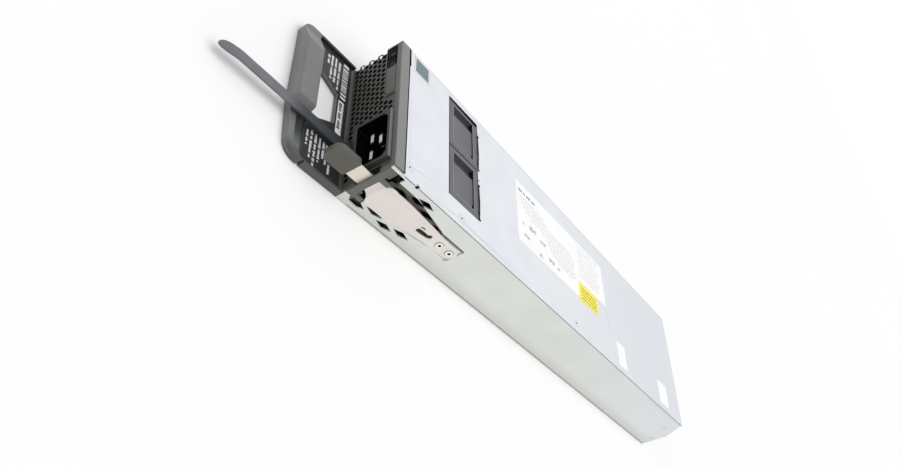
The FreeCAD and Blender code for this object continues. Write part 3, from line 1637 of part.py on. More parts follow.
def bulk_capacitors():
    """Six upright cans in two rows."""
    radius = d.bulk_capacitor_radius
    cans = []
    for row in range(2):
        for column in range(3):
            across = (radius * 2 + d.sheet) * (column - 1)
            along = bulk_station + radius + (radius * 2 + d.sheet) * row
            cans.append(cylinder(f"bulk_can_{row}_{column}", radius, tall_part_height,
                                 (across, along, board_top), "z"))
    keep(grouped("bulk_capacitors", cans), "bulk_capacitors")


def heat_sink(label, wall_across, fins_to, fin_count):
    """Extruded sink: a thick web with fins on one side, seen along Y."""
    web = (wall_across - d.sink_web / 2, wall_across + d.sink_web / 2)
    along = (sink_front, sink_rear)
    pieces = [box(label + "_web", web, along, (board_top, board_top + sink_height))]
    gap = (sink_height - d.sink_fin) / (fin_count - 1)
    for index in range(fin_count):
        height = board_top + gap * index
        reach = (web[1], web[1] + d.sink_width) if fins_to > 0 else (web[0] - d.sink_width, web[0])
        pieces.append(box(f"{label}_fin_{index}", reach, along, (height, height + d.sink_fin)))
    keep(joined(label, pieces), label)


def heat_sinks():
    wall = board_half / 2
    heat_sink("boost_heat_sink", wall, 1, 6)
    heat_sink("bridge_heat_sink", -wall, -1, 6)


def power_transistors():
    """Flat power packages clamped to the plain faces of the two sinks."""
    packages = []
    wall = board_half / 2
    for side in (-1, 1):
        face = side * (wall - d.sink_web / 2)
        inner = side * (wall - d.sink_web / 2 - d.transistor_thickness)
        across = (face, inner) if side < 0 else (inner, face)
        for index in range(3):
            middle = sink_front + package_pitch * (index + 0.5)
            packages.append(box(f"transistor_{side + 1}_{index}", across,
                                span(middle, package_pitch * 0.75),
                                (board_top + d.sheet * 4, board_top + d.sheet * 4 + d.transistor_height)))
    keep(grouped("power_transistors", packages), "power_transistors")


def main_transformer():
    """Ferrite core of two E halves, its winding wrapped round the middle leg."""
    leg = d.transformer_leg
    across = span(transformer_across, d.transformer_width)
    along = (transformer_front, transformer_rear)
    up = span(board_top + tall_part_height / 2, tall_part_height - leg)
    inner_x = (across[0] + leg, across[1] - leg)
    inner_y = (along[0] + leg, along[1] - leg)
    leg_x = span(transformer_across, leg)
    outer = box("transformer_block", across, along, up)
    window = box("transformer_window", inner_x, inner_y, (up[0] - d.sheet, up[1] + d.sheet))
    middle_leg = box("transformer_leg_block", leg_x, inner_y, up)
    frame = carved("transformer_frame", outer, [window])
    feet = [
        box(f"transformer_foot_{index}",
            span(transformer_across + side * (d.transformer_width - leg) / 2, leg / 2),
            along, (board_top, up[0]))
        for index, side in enumerate((-1, 1))
    ]
    keep(joined("transformer_core", [frame, middle_leg] + feet), "transformer_core")
    coil = box("coil_block", inner_x, inner_y, (board_top, board_top + tall_part_height))
    hole = box("coil_hole", leg_x, (inner_y[0] - d.sheet, inner_y[1] + d.sheet), up)
    keep(carved("transformer_winding", coil, [hole]), "transformer_winding")


def control_card():
    """Upright card with the supervisory circuits, soldered along the left edge of the board."""
    across = (d.sheet - board_half, d.sheet - board_half + d.board_thickness)
    along = (transformer_front, transformer_front + d.card_length)
    keep(box("control_card", across, along, (board_top, board_top + d.card_height)), "control_card")


def output_stage():
    """Output choke, smoothing capacitors and bus bars."""
    standing_ring("output_choke", d.inductor_radius, d.inductor_bore, d.inductor_height,
                  output_choke_across, output_front - d.transformer_length / 2)
    cans = []
    count = int(float(d.output_capacitor_count))
    for index in range(count):
        across = d.output_capacitor_pitch * (index - (count - 1) / 2)
        can = cylinder(f"output_can_{index}", d.output_capacitor_radius, d.output_capacitor_height,
                       (across, output_front + d.output_capacitor_radius, board_top), "z")
        cans.append(can)
    keep(grouped("output_capacitors", cans), "output_capacitors")
    bars = []
    for index, side in enumerate((-1, 1)):
        across = span(side * d.connector_width / 4, d.bar_width)
        bars.append(box(f"bus_bar_{index}", across, (bar_front, bar_front + d.bar_length),
                        (board_top, board_top + d.bar_thickness)))
    keep(grouped("output_bus_bars", bars), "output_bus_bars")


def output_connector():
    """Blade connector in the rear wall, which mates as the supply slides home."""
    rear = d.body_length + d.connector_proud
    front = board_end + d.seat_gap
    across = span(0, d.connector_width)
    up = (board_bottom, board_bottom + d.connector_height)
    housing = box("connector_block", across, (front, rear), up)
    contacts = []
    slots = []
    count = int(float(d.connector_width) / float(d.contact_pitch)) - 1
    middle = (up[0] + up[1]) / 2
    for index in range(count):
        place = d.contact_pitch * (index - (count - 1) / 2)
        slots.append(box(f"contact_slot_{index}", span(place, d.contact_width),
                         (rear - d.connector_depth, rear + d.sheet), span(middle, d.connector_height * 0.6)))
        contacts.append(box(f"contact_{index}", span(place, d.contact_thickness),
                            (rear - d.connector_depth, rear - d.sheet),
                            span(middle, d.connector_height * 0.6)))
    keep(carved("output_connector", housing, slots), "output_connector")
    keep(grouped("output_contacts", contacts), "output_contacts")


# ---------------------------------------------------------------- leads behind the grille

def lead_path(points):
    """Straight runs joined by tangent arcs, each arc as large as its two runs allow."""
    edges = []
    start = points[0]
    for index in range(1, len(points) - 1):
        corner = points[index]
        before = points[index - 1] - corner
        after = points[index + 1] - corner
        turn = math.pi - before.getAngle(after)
        cut = 0.45 * min(before.Length, after.Length)
        enter = corner + before.normalize() * cut
        leave = corner + after.normalize() * cut
        radius = cut / math.tan(turn / 2)
        bisector = (before + after).normalize()
        middle = corner + bisector * (radius / math.cos(turn / 2) - radius)
        edges.append(Part.LineSegment(start, enter).toShape())
        edges.append(Part.Arc(enter, middle, leave).toShape())
        start = leave
    edges.append(Part.LineSegment(start, points[-1]).toShape())
    return Part.Wire(edges)


def lead_solid(points, radius):
    """One insulated wire along a path."""
    ring = Part.Wire(Part.makeCircle(radius, points[0], points[1] - points[0]))
    return lead_path(points).makePipeShell([ring], True, True)


def lead(label, solids):
    wires = doc.addObject("Part::Feature", label)
    wires.Shape = solids[0] if len(solids) == 1 else Part.makeCompound(solids)
    keep(wires, label)


def inlet_leads():
    """Line, neutral and earth leads, each back from its tab and straight down to the board."""
    tab_end = float(d.socket_depth - d.inlet_proud + d.inlet_back + d.tab_length)
    landing = float(d.lead_landing)
    foot = float(board_top)
    for name, (across, height, _) in zip(("line", "neutral", "earth"), inlet_blades()):
        x, z = float(across), float(height)
        points = [Vector(x, tab_end, z), Vector(x, landing, z), Vector(x, landing, foot)]
        lead(f"lead_{name}", [lead_solid(points, float(d.lead_radius))])


def lamp_leads():
    """Two thin wires from the lamp board, looped forward behind the grille to the filter board."""
    board = float(d.lamp_board_depth + d.board_thickness / 2)
    start = float(lamp_panel_bottom)
    foot = float(board_top)
    drop = start - foot
    landing = float(d.filter_board_start + d.filter_part_inset / 2)
    radius = float(d.lamp_lead_radius)
    forward = float(grille_back) + radius * 3
    right = float(lamp_panel_right) - radius * 3
    sweep = float(d.lamp_lead_sweep)
    pitch = float(d.lamp_lead_pitch)
    outer = [
        Vector(right, board, start),
        Vector(right, board, start - drop * 0.25),
        Vector(right, forward, start - drop * 0.6),
        Vector(right - sweep, forward, start - drop * 0.7),
        Vector(right - sweep, landing, foot + drop * 0.2),
        Vector(right - sweep, landing, foot),
    ]
    inner = [
        Vector(right - pitch, board, start),
        Vector(right - pitch, board, start - drop * 0.2),
        Vector(right - pitch * 2, forward, start - drop * 0.45),
        Vector(right - sweep - pitch, landing, foot + drop * 0.3),
        Vector(right - sweep - pitch, landing, foot),
    ]
    lead("lamp_lead_yellow", [lead_solid(outer, radius)])
    lead("lamp_lead_red", [lead_solid(inner, radius)])


# ---------------------------------------------------------------- whole supply

def check_document():
    """Stop when any object failed or any sub-part is empty or not valid."""
    doc.recompute()
    for thing in doc.Objects:
        if "Invalid" in thing.State or "Error" in thing.State:
            raise RuntimeError(f"{thing.Name} is {thing.State}")
    for thing in NODES:
        if thing.Shape.isNull() or not thing.Shape.isValid() or not thing.Shape.Solids:
            raise RuntimeError(f"{thing.Label} has no valid solid")


def write_parts():
    os.makedirs("parts", exist_ok=True)
    for thing in NODES:
        thing.Shape.exportStep(f"parts/{thing.Label}.step")


base_tray()
top_cover()
cover_screws()
front_bezel()
lamp_windows()
lamp_board()
front_grille()
ac_inlet()
inlet_contacts()
handle()
handle_screws()
latch_spring()
latch_spring_foot()
latch_rivets()
latch_thumb_pad()
strap_root()
cord_strap()
fans()
boards()
board_standoffs()
board_screws()
floor_liner()
filter_parts()
line_fuse()
rectifier_and_relay()
bulk_capacitors()
heat_sinks()
power_transistors()
main_transformer()
control_card()
output_stage()
output_connector()
inlet_leads()
lamp_leads()
check_document()
write_parts()
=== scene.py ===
import json
import math
import random

import bmesh
import bpy
from mathutils import Matrix, Vector


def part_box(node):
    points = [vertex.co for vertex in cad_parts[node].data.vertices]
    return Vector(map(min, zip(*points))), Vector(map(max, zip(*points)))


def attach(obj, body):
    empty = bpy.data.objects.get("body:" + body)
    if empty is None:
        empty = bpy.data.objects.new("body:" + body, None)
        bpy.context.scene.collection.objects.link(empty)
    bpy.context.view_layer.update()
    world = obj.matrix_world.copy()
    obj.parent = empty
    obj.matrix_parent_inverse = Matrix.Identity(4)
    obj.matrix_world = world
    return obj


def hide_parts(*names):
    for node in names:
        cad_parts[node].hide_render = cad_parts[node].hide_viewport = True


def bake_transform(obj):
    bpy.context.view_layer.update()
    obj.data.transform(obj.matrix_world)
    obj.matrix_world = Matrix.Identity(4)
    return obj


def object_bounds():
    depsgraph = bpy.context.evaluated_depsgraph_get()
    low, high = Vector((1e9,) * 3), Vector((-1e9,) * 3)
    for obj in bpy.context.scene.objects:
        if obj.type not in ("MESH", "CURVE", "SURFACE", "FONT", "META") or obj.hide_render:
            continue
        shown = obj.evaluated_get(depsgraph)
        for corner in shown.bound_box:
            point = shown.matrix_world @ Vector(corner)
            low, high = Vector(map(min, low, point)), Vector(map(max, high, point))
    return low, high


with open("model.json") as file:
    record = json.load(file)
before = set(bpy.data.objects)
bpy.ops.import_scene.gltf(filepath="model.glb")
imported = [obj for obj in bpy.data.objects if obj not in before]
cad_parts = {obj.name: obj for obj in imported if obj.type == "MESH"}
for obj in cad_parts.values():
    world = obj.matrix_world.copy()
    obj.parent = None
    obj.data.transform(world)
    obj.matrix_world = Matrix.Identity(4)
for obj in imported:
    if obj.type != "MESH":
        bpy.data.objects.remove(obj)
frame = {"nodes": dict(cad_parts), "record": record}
cad_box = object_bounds()

MM = 0.001


# ---------------------------------------------------------------- shared places, in millimetres

def corners(node):
    """Low and high corners of a CAD node, in millimetres."""
    low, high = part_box(node)
    return low / MM, high / MM


TRAY_HIGH = corners("base_tray")[1]
COVER_LOW, COVER_HIGH = corners("top_cover")
SCREWS_LOW, SCREWS_HIGH = corners("cover_screws")
BEZEL_LOW = corners("front_bezel")[0]
GRILLE_LOW, GRILLE_HIGH = corners("front_grille")
LENS_LOW, LENS_HIGH = corners("lamp_windows")
INLET_LOW, INLET_HIGH = corners("ac_inlet")
BLADES_LOW = corners("inlet_contacts")[0]
FOOT_LOW, FOOT_HIGH = corners("latch_spring_foot")
RIVETS_LOW, RIVETS_HIGH = corners("latch_rivets")
STRAP_LOW, STRAP_HIGH = corners("cord_strap")
LEFT_FAN_LOW, LEFT_FAN_HIGH = corners("fan_frame_left")
RIGHT_FAN_LOW = corners("fan_frame_right")[0]

# Sizes of the part that its boxes don't show
SHEET = 1.0
HEAD_RADIUS = 2.4
MIDDLE_SCREW = 58.1
SEAM_NOTCH = 19.1
LENS_WIDTH = 6.6
INLET_WALL = 2.0
INLET_COLLAR = 1.0
SOCKET_DEPTH = 19.0
SOCKET_CHAMFER = 3.0
BLADE_PITCH = 12.6
EARTH_LEAD = 2.0
STRAP_THICKNESS = 1.4
STRAP_STRAIGHT = 74.5
STRAP_RISE = 0.9
STRAP_FALL = 2.2
STRAP_ROOT_TOP = 7.9
HANDLE_FLOOR = 2.4
HANDLE_RIM = 4.6
POCKET_FLOOR = 1.4
SEAT_FRONT = -30.0
WINDOW_REAR = 75.6

# Rear edge of the large white label
RATING_REAR = 241.0

# Thickness of what lies on a face
LABEL_SKIN = 0.06
INK_SKIN = 0.03
BEZEL_GAP_SKIN = 0.02

HALF_WIDTH = TRAY_HIGH.x
TRAY_TOP = TRAY_HIGH.z
TRAY_REAR = TRAY_HIGH.y
COVER_TOP = COVER_HIGH.z
COVER_REAR = COVER_HIGH.y
GRILLE_FRONT = GRILLE_LOW.y
FAN_TOP = LEFT_FAN_HIGH.z
INLET_MIDDLE = (INLET_LOW.x + INLET_HIGH.x) / 2
SOCKET_LOW = INLET_LOW.z + INLET_COLLAR + INLET_WALL
SOCKET_HIGH = INLET_HIGH.z - INLET_WALL
LEAF_HEIGHT = RIVETS_LOW.z + HEAD_RADIUS
RIVETS = (RIVETS_LOW.y + HEAD_RADIUS, RIVETS_HIGH.y - HEAD_RADIUS)
COVER_SCREWS = (
    (SCREWS_LOW.x + HEAD_RADIUS, SCREWS_LOW.y + HEAD_RADIUS),
    (SCREWS_HIGH.x - HEAD_RADIUS, MIDDLE_SCREW),
    (SCREWS_HIGH.x - HEAD_RADIUS, SCREWS_HIGH.y - HEAD_RADIUS),
)


# ---------------------------------------------------------------- materials

def linear(red, green, blue):
    """A colour given as 0 to 255 display values, as the shader's linear values."""
    values = []
    for channel in (red, green, blue):
        share = channel / 255
        values.append(share / 12.92 if share <= 0.04045 else ((share + 0.055) / 1.055) ** 2.4)
    return (*values, 1.0)


class Finish:
    """A procedural material: tinted zones, mottled colour, uneven gloss and a fine bump."""

    def __init__(self, name, colour, roughness, metallic=0.0, specular=0.5):
        self.name = name
        self.material = bpy.data.materials.new(name)
        self.material.use_nodes = True
        self.nodes = self.material.node_tree.nodes
        self.links = self.material.node_tree.links
        self.shader = self.nodes["Principled BSDF"]
        self.shader.inputs["Base Color"].default_value = colour
        self.shader.inputs["Roughness"].default_value = roughness
        self.shader.inputs["Metallic"].default_value = metallic
        self.shader.inputs["Specular IOR Level"].default_value = specular
        self.roughness = roughness
        self.colour = colour
        self.place = self.nodes.new("ShaderNodeTexCoord").outputs["Object"]

    def feed(self, value, socket):
        """Join a socket to a socket, or write a plain value into it."""
        if isinstance(value, bpy.types.NodeSocket):
            self.links.new(value, socket)
        else:
            socket.default_value = value

    def noise(self, scale, detail=4.0, stretch=(1, 1, 1)):
        """Soft noise over the part, drawn out along an axis where its stretch is below 1."""
        mapping = self.nodes.new("ShaderNodeMapping")
        mapping.inputs["Scale"].default_value = stretch
        texture = self.nodes.new("ShaderNodeTexNoise")
        texture.inputs["Scale"].default_value = scale
        texture.inputs["Detail"].default_value = detail
        self.links.new(self.place, mapping.inputs["Vector"])
        self.links.new(mapping.outputs["Vector"], texture.inputs["Vector"])
        return texture.outputs["Fac"]

    def ramp(self, source, low, high, start=0.35, end=0.65):
        """One colour below the start of a value's range and another above its end."""
        ramp = self.nodes.new("ShaderNodeValToRGB")
        ramp.color_ramp.elements[0].position = start
        ramp.color_ramp.elements[1].position = end
        ramp.color_ramp.elements[0].color = low
        ramp.color_ramp.elements[1].color = high
        self.links.new(source, ramp.inputs["Fac"])
        return ramp.outputs["Color"]

    def math(self, operation, *values):
        node = self.nodes.new("ShaderNodeMath")
        node.operation = operation
        for value, socket in zip(values, node.inputs):
            self.feed(value, socket)
        return node.outputs["Value"]

    def along(self, axis):
        """The place along one axis of the part, in metres."""
        split = self.nodes.new("ShaderNodeSeparateXYZ")
        self.links.new(self.place, split.inputs["Vector"])
        return split.outputs[axis.upper()]

    def blend(self, factor, other, mode="MIX"):
        """Blend the colour so far with another one."""
        node = self.nodes.new("ShaderNodeMix")
        node.data_type = "RGBA"
        node.blend_type = mode
        factor_socket, first_socket, second_socket = node.inputs[0], node.inputs[6], node.inputs[7]
        self.feed(factor, factor_socket)
        self.feed(self.colour, first_socket)
        self.feed(other, second_socket)
        self.colour = node.outputs[2]
        self.links.new(self.colour, self.shader.inputs["Base Color"])
        return self

    def level(self, axis, start, end):
        """0 before one station and 1 after the other, in millimetres."""
        level = self.nodes.new("ShaderNodeMapRange")
        level.interpolation_type = "SMOOTHSTEP"
        level.inputs["From Min"].default_value = start * MM
        level.inputs["From Max"].default_value = end * MM
        self.links.new(self.along(axis), level.inputs["Value"])
        return level.outputs["Result"]

    def fading(self, axis, start, end, colour):
        """The colour turns into another one between two stations."""
        return self.blend(self.level(axis, start, end), colour)

    def inside(self, low, high, colour):
        """Another colour within a box of the part, given in millimetres."""
        mask = 1.0
        for axis, first, last in zip("xyz", low, high):
            near = self.math("COMPARE", self.along(axis), (first + last) / 2 * MM, (last - first) / 2 * MM)
            mask = self.math("MULTIPLY", near, mask)
        return self.blend(mask, colour)

    def mottled(self, scale, amount, stretch=(1, 1, 1)):
        """Colour drifts a little darker."""
        low = (1 - amount, 1 - amount, 1 - amount, 1)
        drift = self.ramp(self.noise(scale, stretch=stretch), low, (1, 1, 1, 1))
        return self.blend(1.0, drift, "MULTIPLY")

    def uneven_gloss(self, scale, amount, stretch=(1, 1, 1)):
        """Roughness drifts about its middle value."""
        level = self.nodes.new("ShaderNodeMapRange")
        level.inputs["To Min"].default_value = max(0.02, self.roughness - amount)
        level.inputs["To Max"].default_value = min(1.0, self.roughness + amount)
        self.links.new(self.noise(scale, stretch=stretch), level.inputs["Value"])
        self.links.new(level.outputs["Result"], self.shader.inputs["Roughness"])
        return self

    def bump(self, height, depth, strength):
        bump = self.nodes.new("ShaderNodeBump")
        bump.inputs["Strength"].default_value = strength
        bump.inputs["Distance"].default_value = depth * MM
        self.links.new(height, bump.inputs["Height"])
        self.links.new(bump.outputs["Normal"], self.shader.inputs["Normal"])
        return self

    def grained(self, scale, depth, stretch=(1, 1, 1), strength=0.35):
        """A fine bump: mould texture, rolling marks or brush lines."""
        return self.bump(self.noise(scale, detail=2.0, stretch=stretch), depth, strength)


def moulded(name, colour, roughness=0.5, specular=0.4):
    """Plastic with a spark-eroded mould texture."""
    made = Finish(name, colour, roughness, specular=specular)
    return made.mottled(55, 0.1).uneven_gloss(160, 0.06).grained(2600, 0.05)


def polished(name, colour, roughness):
    """Lacquer, film, glazed ceramic or insulation with only a trace of grain."""
    made = Finish(name, colour, roughness)
    return made.mottled(30, 0.06).uneven_gloss(220, 0.04).grained(1500, 0.01, strength=0.15)


def rolled_steel(name, colour, roughness, metallic=0.5):
    """Zinc-plated sheet with a faint spangle and long rolling marks."""
    made = Finish(name, colour, roughness, metallic)
    made.mottled(45, 0.05)
    made.uneven_gloss(90, 0.07, stretch=(1, 0.25, 1))
    return made.grained(420, 0.03, stretch=(1, 0.12, 1), strength=0.2)


def turned_metal(name, colour, roughness=0.3, metallic=1.0):
    """Small metal pieces with fine tool marks."""
    made = Finish(name, colour, roughness, metallic)
    return made.mottled(240, 0.08).uneven_gloss(400, 0.08).grained(1800, 0.02)


def wound_wire(name, colour):
    """Close turns of enamelled wire, as fine ribs."""
    made = Finish(name, colour, 0.32, 0.9)
    wave = made.nodes.new("ShaderNodeTexWave")
    wave.inputs["Scale"].default_value = 420
    wave.inputs["Distortion"].default_value = 0.6
    made.links.new(made.place, wave.inputs["Vector"])
    made.bump(wave.outputs["Fac"], 0.3, 1.0)
    shade = made.ramp(wave.outputs["Fac"], (0.5, 0.5, 0.5, 1), (1, 1, 1, 1), 0.2, 0.8)
    return made.blend(1.0, shade, "MULTIPLY")


def printed(name, colour, roughness=0.45, specular=0.4):
    """Coated label stock or ink with a slight sheen."""
    made = Finish(name, colour, roughness, specular=specular)
    return made.mottled(70, 0.03).uneven_gloss(300, 0.05).grained(900, 0.01, strength=0.15)


def tray_steel():
    """The tray's sheet: darker toward the bottom, with painted shade inside, and painted half light in the
    bay behind the leaf.

    The boxes stop short of the side walls, so that the cut edges of their holes stay pale.
    """
    made = rolled_steel("sheet_steel", linear(222, 224, 220), 0.42)
    made.fading("y", 200.0, TRAY_REAR, linear(221, 225, 227))
    made.fading("z", 12.0, SHEET, linear(208, 210, 206))
    wall, bay = HALF_WIDTH - 1.05, HALF_WIDTH - 5.6
    rear, lid = TRAY_REAR - 1.2, TRAY_TOP - 0.1
    # Painted shade: near black behind the lozenges of the right wall and over the rest of the inside
    made.inside((bay, 1.5, 0.6), (wall, rear, lid), linear(22, 22, 21))
    made.inside((1.1 - HALF_WIDTH, 2.0, 1.05), (bay, rear, lid), linear(26, 27, 26))
    # Painted half light on the bay's floor behind the leaf, and painted light at the bay's rear end
    bay_back, leaf_end = HALF_WIDTH - 5.9, 59.0
    made.inside((bay_back, 12.0, 12.0), (HALF_WIDTH - 1.8, leaf_end, 29.6), linear(180, 183, 172))
    return made.inside((bay_back, leaf_end, 18.0), (wall, 82.0, 31.0), linear(222, 224, 218))


def cover_steel():
    """The cover's sheet, a little duller toward the rear."""
    made = rolled_steel("cover_steel", linear(232, 235, 240), 0.42)
    return made.fading("y", 120.0, 340.0, linear(220, 224, 229))


def leaf_steel():
    """Spring steel, yellower where the leaf comes out of the housing."""
    made = Finish("spring_steel", linear(231, 224, 219), 0.42, 0.3)
    made.fading("y", 2.0, -2.0, linear(231, 225, 210))
    return made.mottled(60, 0.05).uneven_gloss(200, 0.06).grained(900, 0.02, (1, 0.15, 1), 0.15)


def strap_nylon():
    """Nylon, with a painted shadow darkening it from its middle back to its root, where it lies over the
    handle.
    """
    made = Finish("strap_nylon", linear(110, 110, 118), 0.45, specular=0.4)
    # Painted shadow toward the strap's root
    made.fading("y", -52.0, -34.0, linear(58, 62, 67))
    return made.mottled(160, 0.12).uneven_gloss(200, 0.06).grained(1400, 0.06, stretch=(1, 0.3, 1))


def bezel_plastic():
    """The bezel, with painted light making its upper face and the top millimetre of its front paler."""
    made = moulded("dark_plastic", linear(102, 102, 99), 0.46)
    # Painted light on the upper face and the front's top edge
    return made.fading("z", COVER_TOP - 1.0, COVER_TOP, linear(126, 127, 126))


def grille_plastic():
    """The honeycomb, with painted shade turning it black from just behind its front face, except on the side
    round the corner, which keeps a mid grey.
    """
    made = moulded("grille_plastic", linear(92, 93, 88), 0.5)
    # Painted shade in the cells
    made.fading("y", GRILLE_FRONT + 0.1, GRILLE_FRONT + 0.6, linear(24, 24, 23))
    # The side face round the corner is left out of the painted shade
    side_low, side_high = (-HALF_WIDTH - 0.2, 0.0, 0.0), (-HALF_WIDTH + 0.1, 12.0, COVER_TOP)
    return made.inside(side_low, side_high, linear(74, 75, 72))


def fan_plastic():
    """The fan frames, darker toward the rear, with painted shade on their channel floors, in the pockets
    below panels and channels and along the window's rear wall, each zone told apart by how far it lies below
    the top.
    """
    made = moulded("fan_plastic", linear(106, 106, 111), 0.5)
    made.fading("y", 46.0, 72.0, linear(92, 92, 97))
    left, right, front, rear = -45.0, 36.0, 45.0, 76.0
    # The rails take a darker tone; the other zones are painted shade
    rails, channel_shade = (0.3, -0.1, linear(96, 97, 101)), (3.2, 2.9, linear(66, 66, 70))
    panel_pocket_shade, channel_pocket_shade = (1.3, 1.1, linear(24, 24, 26)), (3.7, 3.5, linear(20, 20, 22))
    for deep, shallow, shade in (rails, channel_shade, panel_pocket_shade, channel_pocket_shade):
        made.inside((left, front, FAN_TOP - deep), (right, rear, FAN_TOP - shallow), shade)
    # Painted shade along the window's rear wall
    rear_wall = 70.6
    return made.inside((left, rear_wall - 0.15, FAN_TOP - 3.8), (right, rear_wall + 0.15, FAN_TOP - 0.05),
                       linear(20, 20, 22))


def handle_plastic():
    """The handle, darker at the latch's side, with a painted shadow in its pocket that is darkest at the
    pocket's inner end, near the strap.
    """
    made = moulded("handle_plastic", linear(116, 118, 117), 0.4)
    made.fading("x", 40.0, 49.0, linear(82, 82, 78))
    # Painted shadow of the strap and the raised block on the pocket's floor
    pocket_shade = made.ramp(made.level("x", 26.0, 46.0), linear(66, 68, 70), linear(122, 126, 130), 0.0, 1.0)
    return made.inside((14.0, -40.5, POCKET_FLOOR - 0.2), (49.5, -29.0, POCKET_FLOOR + 0.3), pocket_shade)


def blade_plate():
    """The inlet's blades, with painted shade over all but their front ends, which keep the metal's pale
    colour.
    """
    # Painted shade as the blades' colour
    made = turned_metal("pin_plate", linear(22, 22, 22), 0.4, 0.3)
    earth, live = BLADES_LOW.y, BLADES_LOW.y + EARTH_LEAD
    for offset, tip in ((0.0, earth), (-BLADE_PITCH / 2, live), (BLADE_PITCH / 2, live)):
        across = INLET_MIDDLE + offset
        made.inside((across - 2.7, tip - 0.1, SOCKET_LOW), (across + 2.7, tip + 0.2, SOCKET_HIGH),
                    linear(238, 237, 232))
    return made


def inlet_plastic():
    """The inlet's shroud, with painted light making its upper face paler."""
    made = moulded("black_plastic", linear(66, 66, 66), 0.48)
    # Painted light on the upper face
    low = (INLET_LOW.x - 1.0, INLET_LOW.y - 1.0, INLET_HIGH.z - 0.3)
    high = (INLET_HIGH.x + 1.0, INLET_HIGH.y + 1.0, INLET_HIGH.z + 0.1)
    return made.inside(low, high, linear(128, 130, 130))


FINISHES = {made.name: made.material for made in (
    tray_steel(),
    cover_steel(),
    leaf_steel(),
    strap_nylon(),
    bezel_plastic(),
    grille_plastic(),
    fan_plastic(),
    handle_plastic(),
    blade_plate(),
    inlet_plastic(),
    turned_metal("screw_steel", linear(222, 223, 224), 0.34, 0.5),
    turned_metal("rivet_face", linear(244, 243, 238), 0.4, 0.2),
    turned_metal("brass", linear(212, 182, 112)),
    turned_metal("tin_plate", linear(226, 224, 214), 0.22),
    rolled_steel("sink_aluminium", linear(186, 188, 190), 0.35, 1.0),
    wound_wire("copper", linear(196, 122, 74)),
    moulded("pad_plastic", linear(90, 87, 80), 0.42),
    moulded("lamp_plastic", linear(12, 14, 12), 0.3, 0.1),
    moulded("rotor_plastic", linear(44, 44, 46), 0.4),
    moulded("ferrite", linear(58, 58, 62), 0.65),
    moulded("package_epoxy", linear(40, 40, 40), 0.55),
    moulded("connector_plastic", linear(52, 52, 52), 0.45),
    # Painted highlight lines along the fan panels' edges
    moulded("fan_edge_highlight", linear(142, 143, 147), 0.45),
    # Black for real black parts, and for painted shade in gaps, bores, slits, notches and the inlet's socket
    moulded("deep_black", linear(8, 8, 8), 0.8, 0.05),
    moulded("seam_shadow", linear(84, 84, 78), 0.7, 0.2),
    moulded("fold_shadow", linear(128, 128, 122), 0.6, 0.2),
    # Painted shade along the cover's lip and round the rear rivets
    moulded("soft_line", linear(188, 190, 188), 0.5, 0.3),
    polished("board_laminate", linear(24, 52, 38), 0.4),
    polished("liner_film", linear(40, 40, 40), 0.5),
    polished("yellow_plastic", linear(150, 128, 52), 0.4),
    polished("fuse_ceramic", linear(206, 204, 196), 0.35),
    polished("relay_plastic", linear(40, 46, 70), 0.4),
    polished("can_sleeve", linear(40, 42, 52), 0.28),
    polished("wire_brown", linear(92, 58, 38), 0.4),
    polished("wire_blue", linear(42, 66, 100), 0.4),
    polished("wire_green", linear(72, 100, 50), 0.4),
    polished("wire_yellow", linear(250, 232, 172), 0.35),
    polished("wire_red", linear(150, 52, 44), 0.35),
    printed("label_white", linear(252, 252, 252)),
    printed("label_yellow", linear(250, 238, 74)),
    printed("label_teal", linear(108, 127, 135)),
    printed("label_black", linear(50, 52, 55), 0.4, 0.3),
    printed("ink_white", linear(250, 251, 252)),
    printed("ink_pale", linear(196, 196, 200)),
    printed("ink_grey", linear(120, 120, 124)),
    printed("ink_dark", linear(66, 66, 70)),
    printed("ink_black", linear(38, 38, 38)),
    printed("ink_olive", linear(140, 134, 50)),
    # Painted shade along the cover's crease and step and round the screw heads
    printed("faint_line", linear(200, 204, 208)),
)}
# Nodes whose faces show another finish than their slot's
NODE_FINISHES = {
    "latch_rivets": "rivet_face",
    "cover_screws": "cover_steel",
    "inlet_contacts": "pin_plate",
}


# ---------------------------------------------------------------- building blocks

def add_piece(name, mesh, finish, body):
    """Put a mesh in the scene as a piece that rides on a body, or on none yet."""
    piece = bpy.data.objects.new(name, mesh)
    bpy.context.scene.collection.objects.link(piece)
    piece.data.materials.clear()
    piece.data.materials.append(FINISHES[finish])
    if body:
        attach(piece, body)
    return piece


def bevel_edges(piece, width):
    """Soften the sharp edges of a piece or of a CAD node."""
    modifier = piece.modifiers.new("edge", "BEVEL")
    modifier.width = width * MM
    modifier.segments = 2
    modifier.limit_method = "ANGLE"
    modifier.angle_limit = math.radians(35)


def skin(shape, rings):
    """Faces between closed rings of points, with an end cap at each side."""
    count = len(rings[0])
    for first, second in zip(rings, rings[1:]):
        for index in range(count):
            following = (index + 1) % count
            shape.faces.new((first[index], first[following], second[following], second[index]))
    shape.faces.new(rings[0][::-1])
    shape.faces.new(rings[-1])


def finished(shape, name):
    """Close a bmesh into a mesh with its faces outwards."""
    bmesh.ops.recalc_face_normals(shape, faces=shape.faces)
    mesh = bpy.data.meshes.new(name)
    shape.to_mesh(mesh)
    shape.free()
    return mesh


# Turns that stand a flat plate's thickness along an axis
AXES = {
    "x": Matrix(((0, 0, 1, 0), (1, 0, 0, 0), (0, 1, 0, 0), (0, 0, 0, 1))),
    "y": Matrix(((1, 0, 0, 0), (0, 0, 1, 0), (0, 1, 0, 0), (0, 0, 0, 1))),
    "z": Matrix.Identity(4),
}


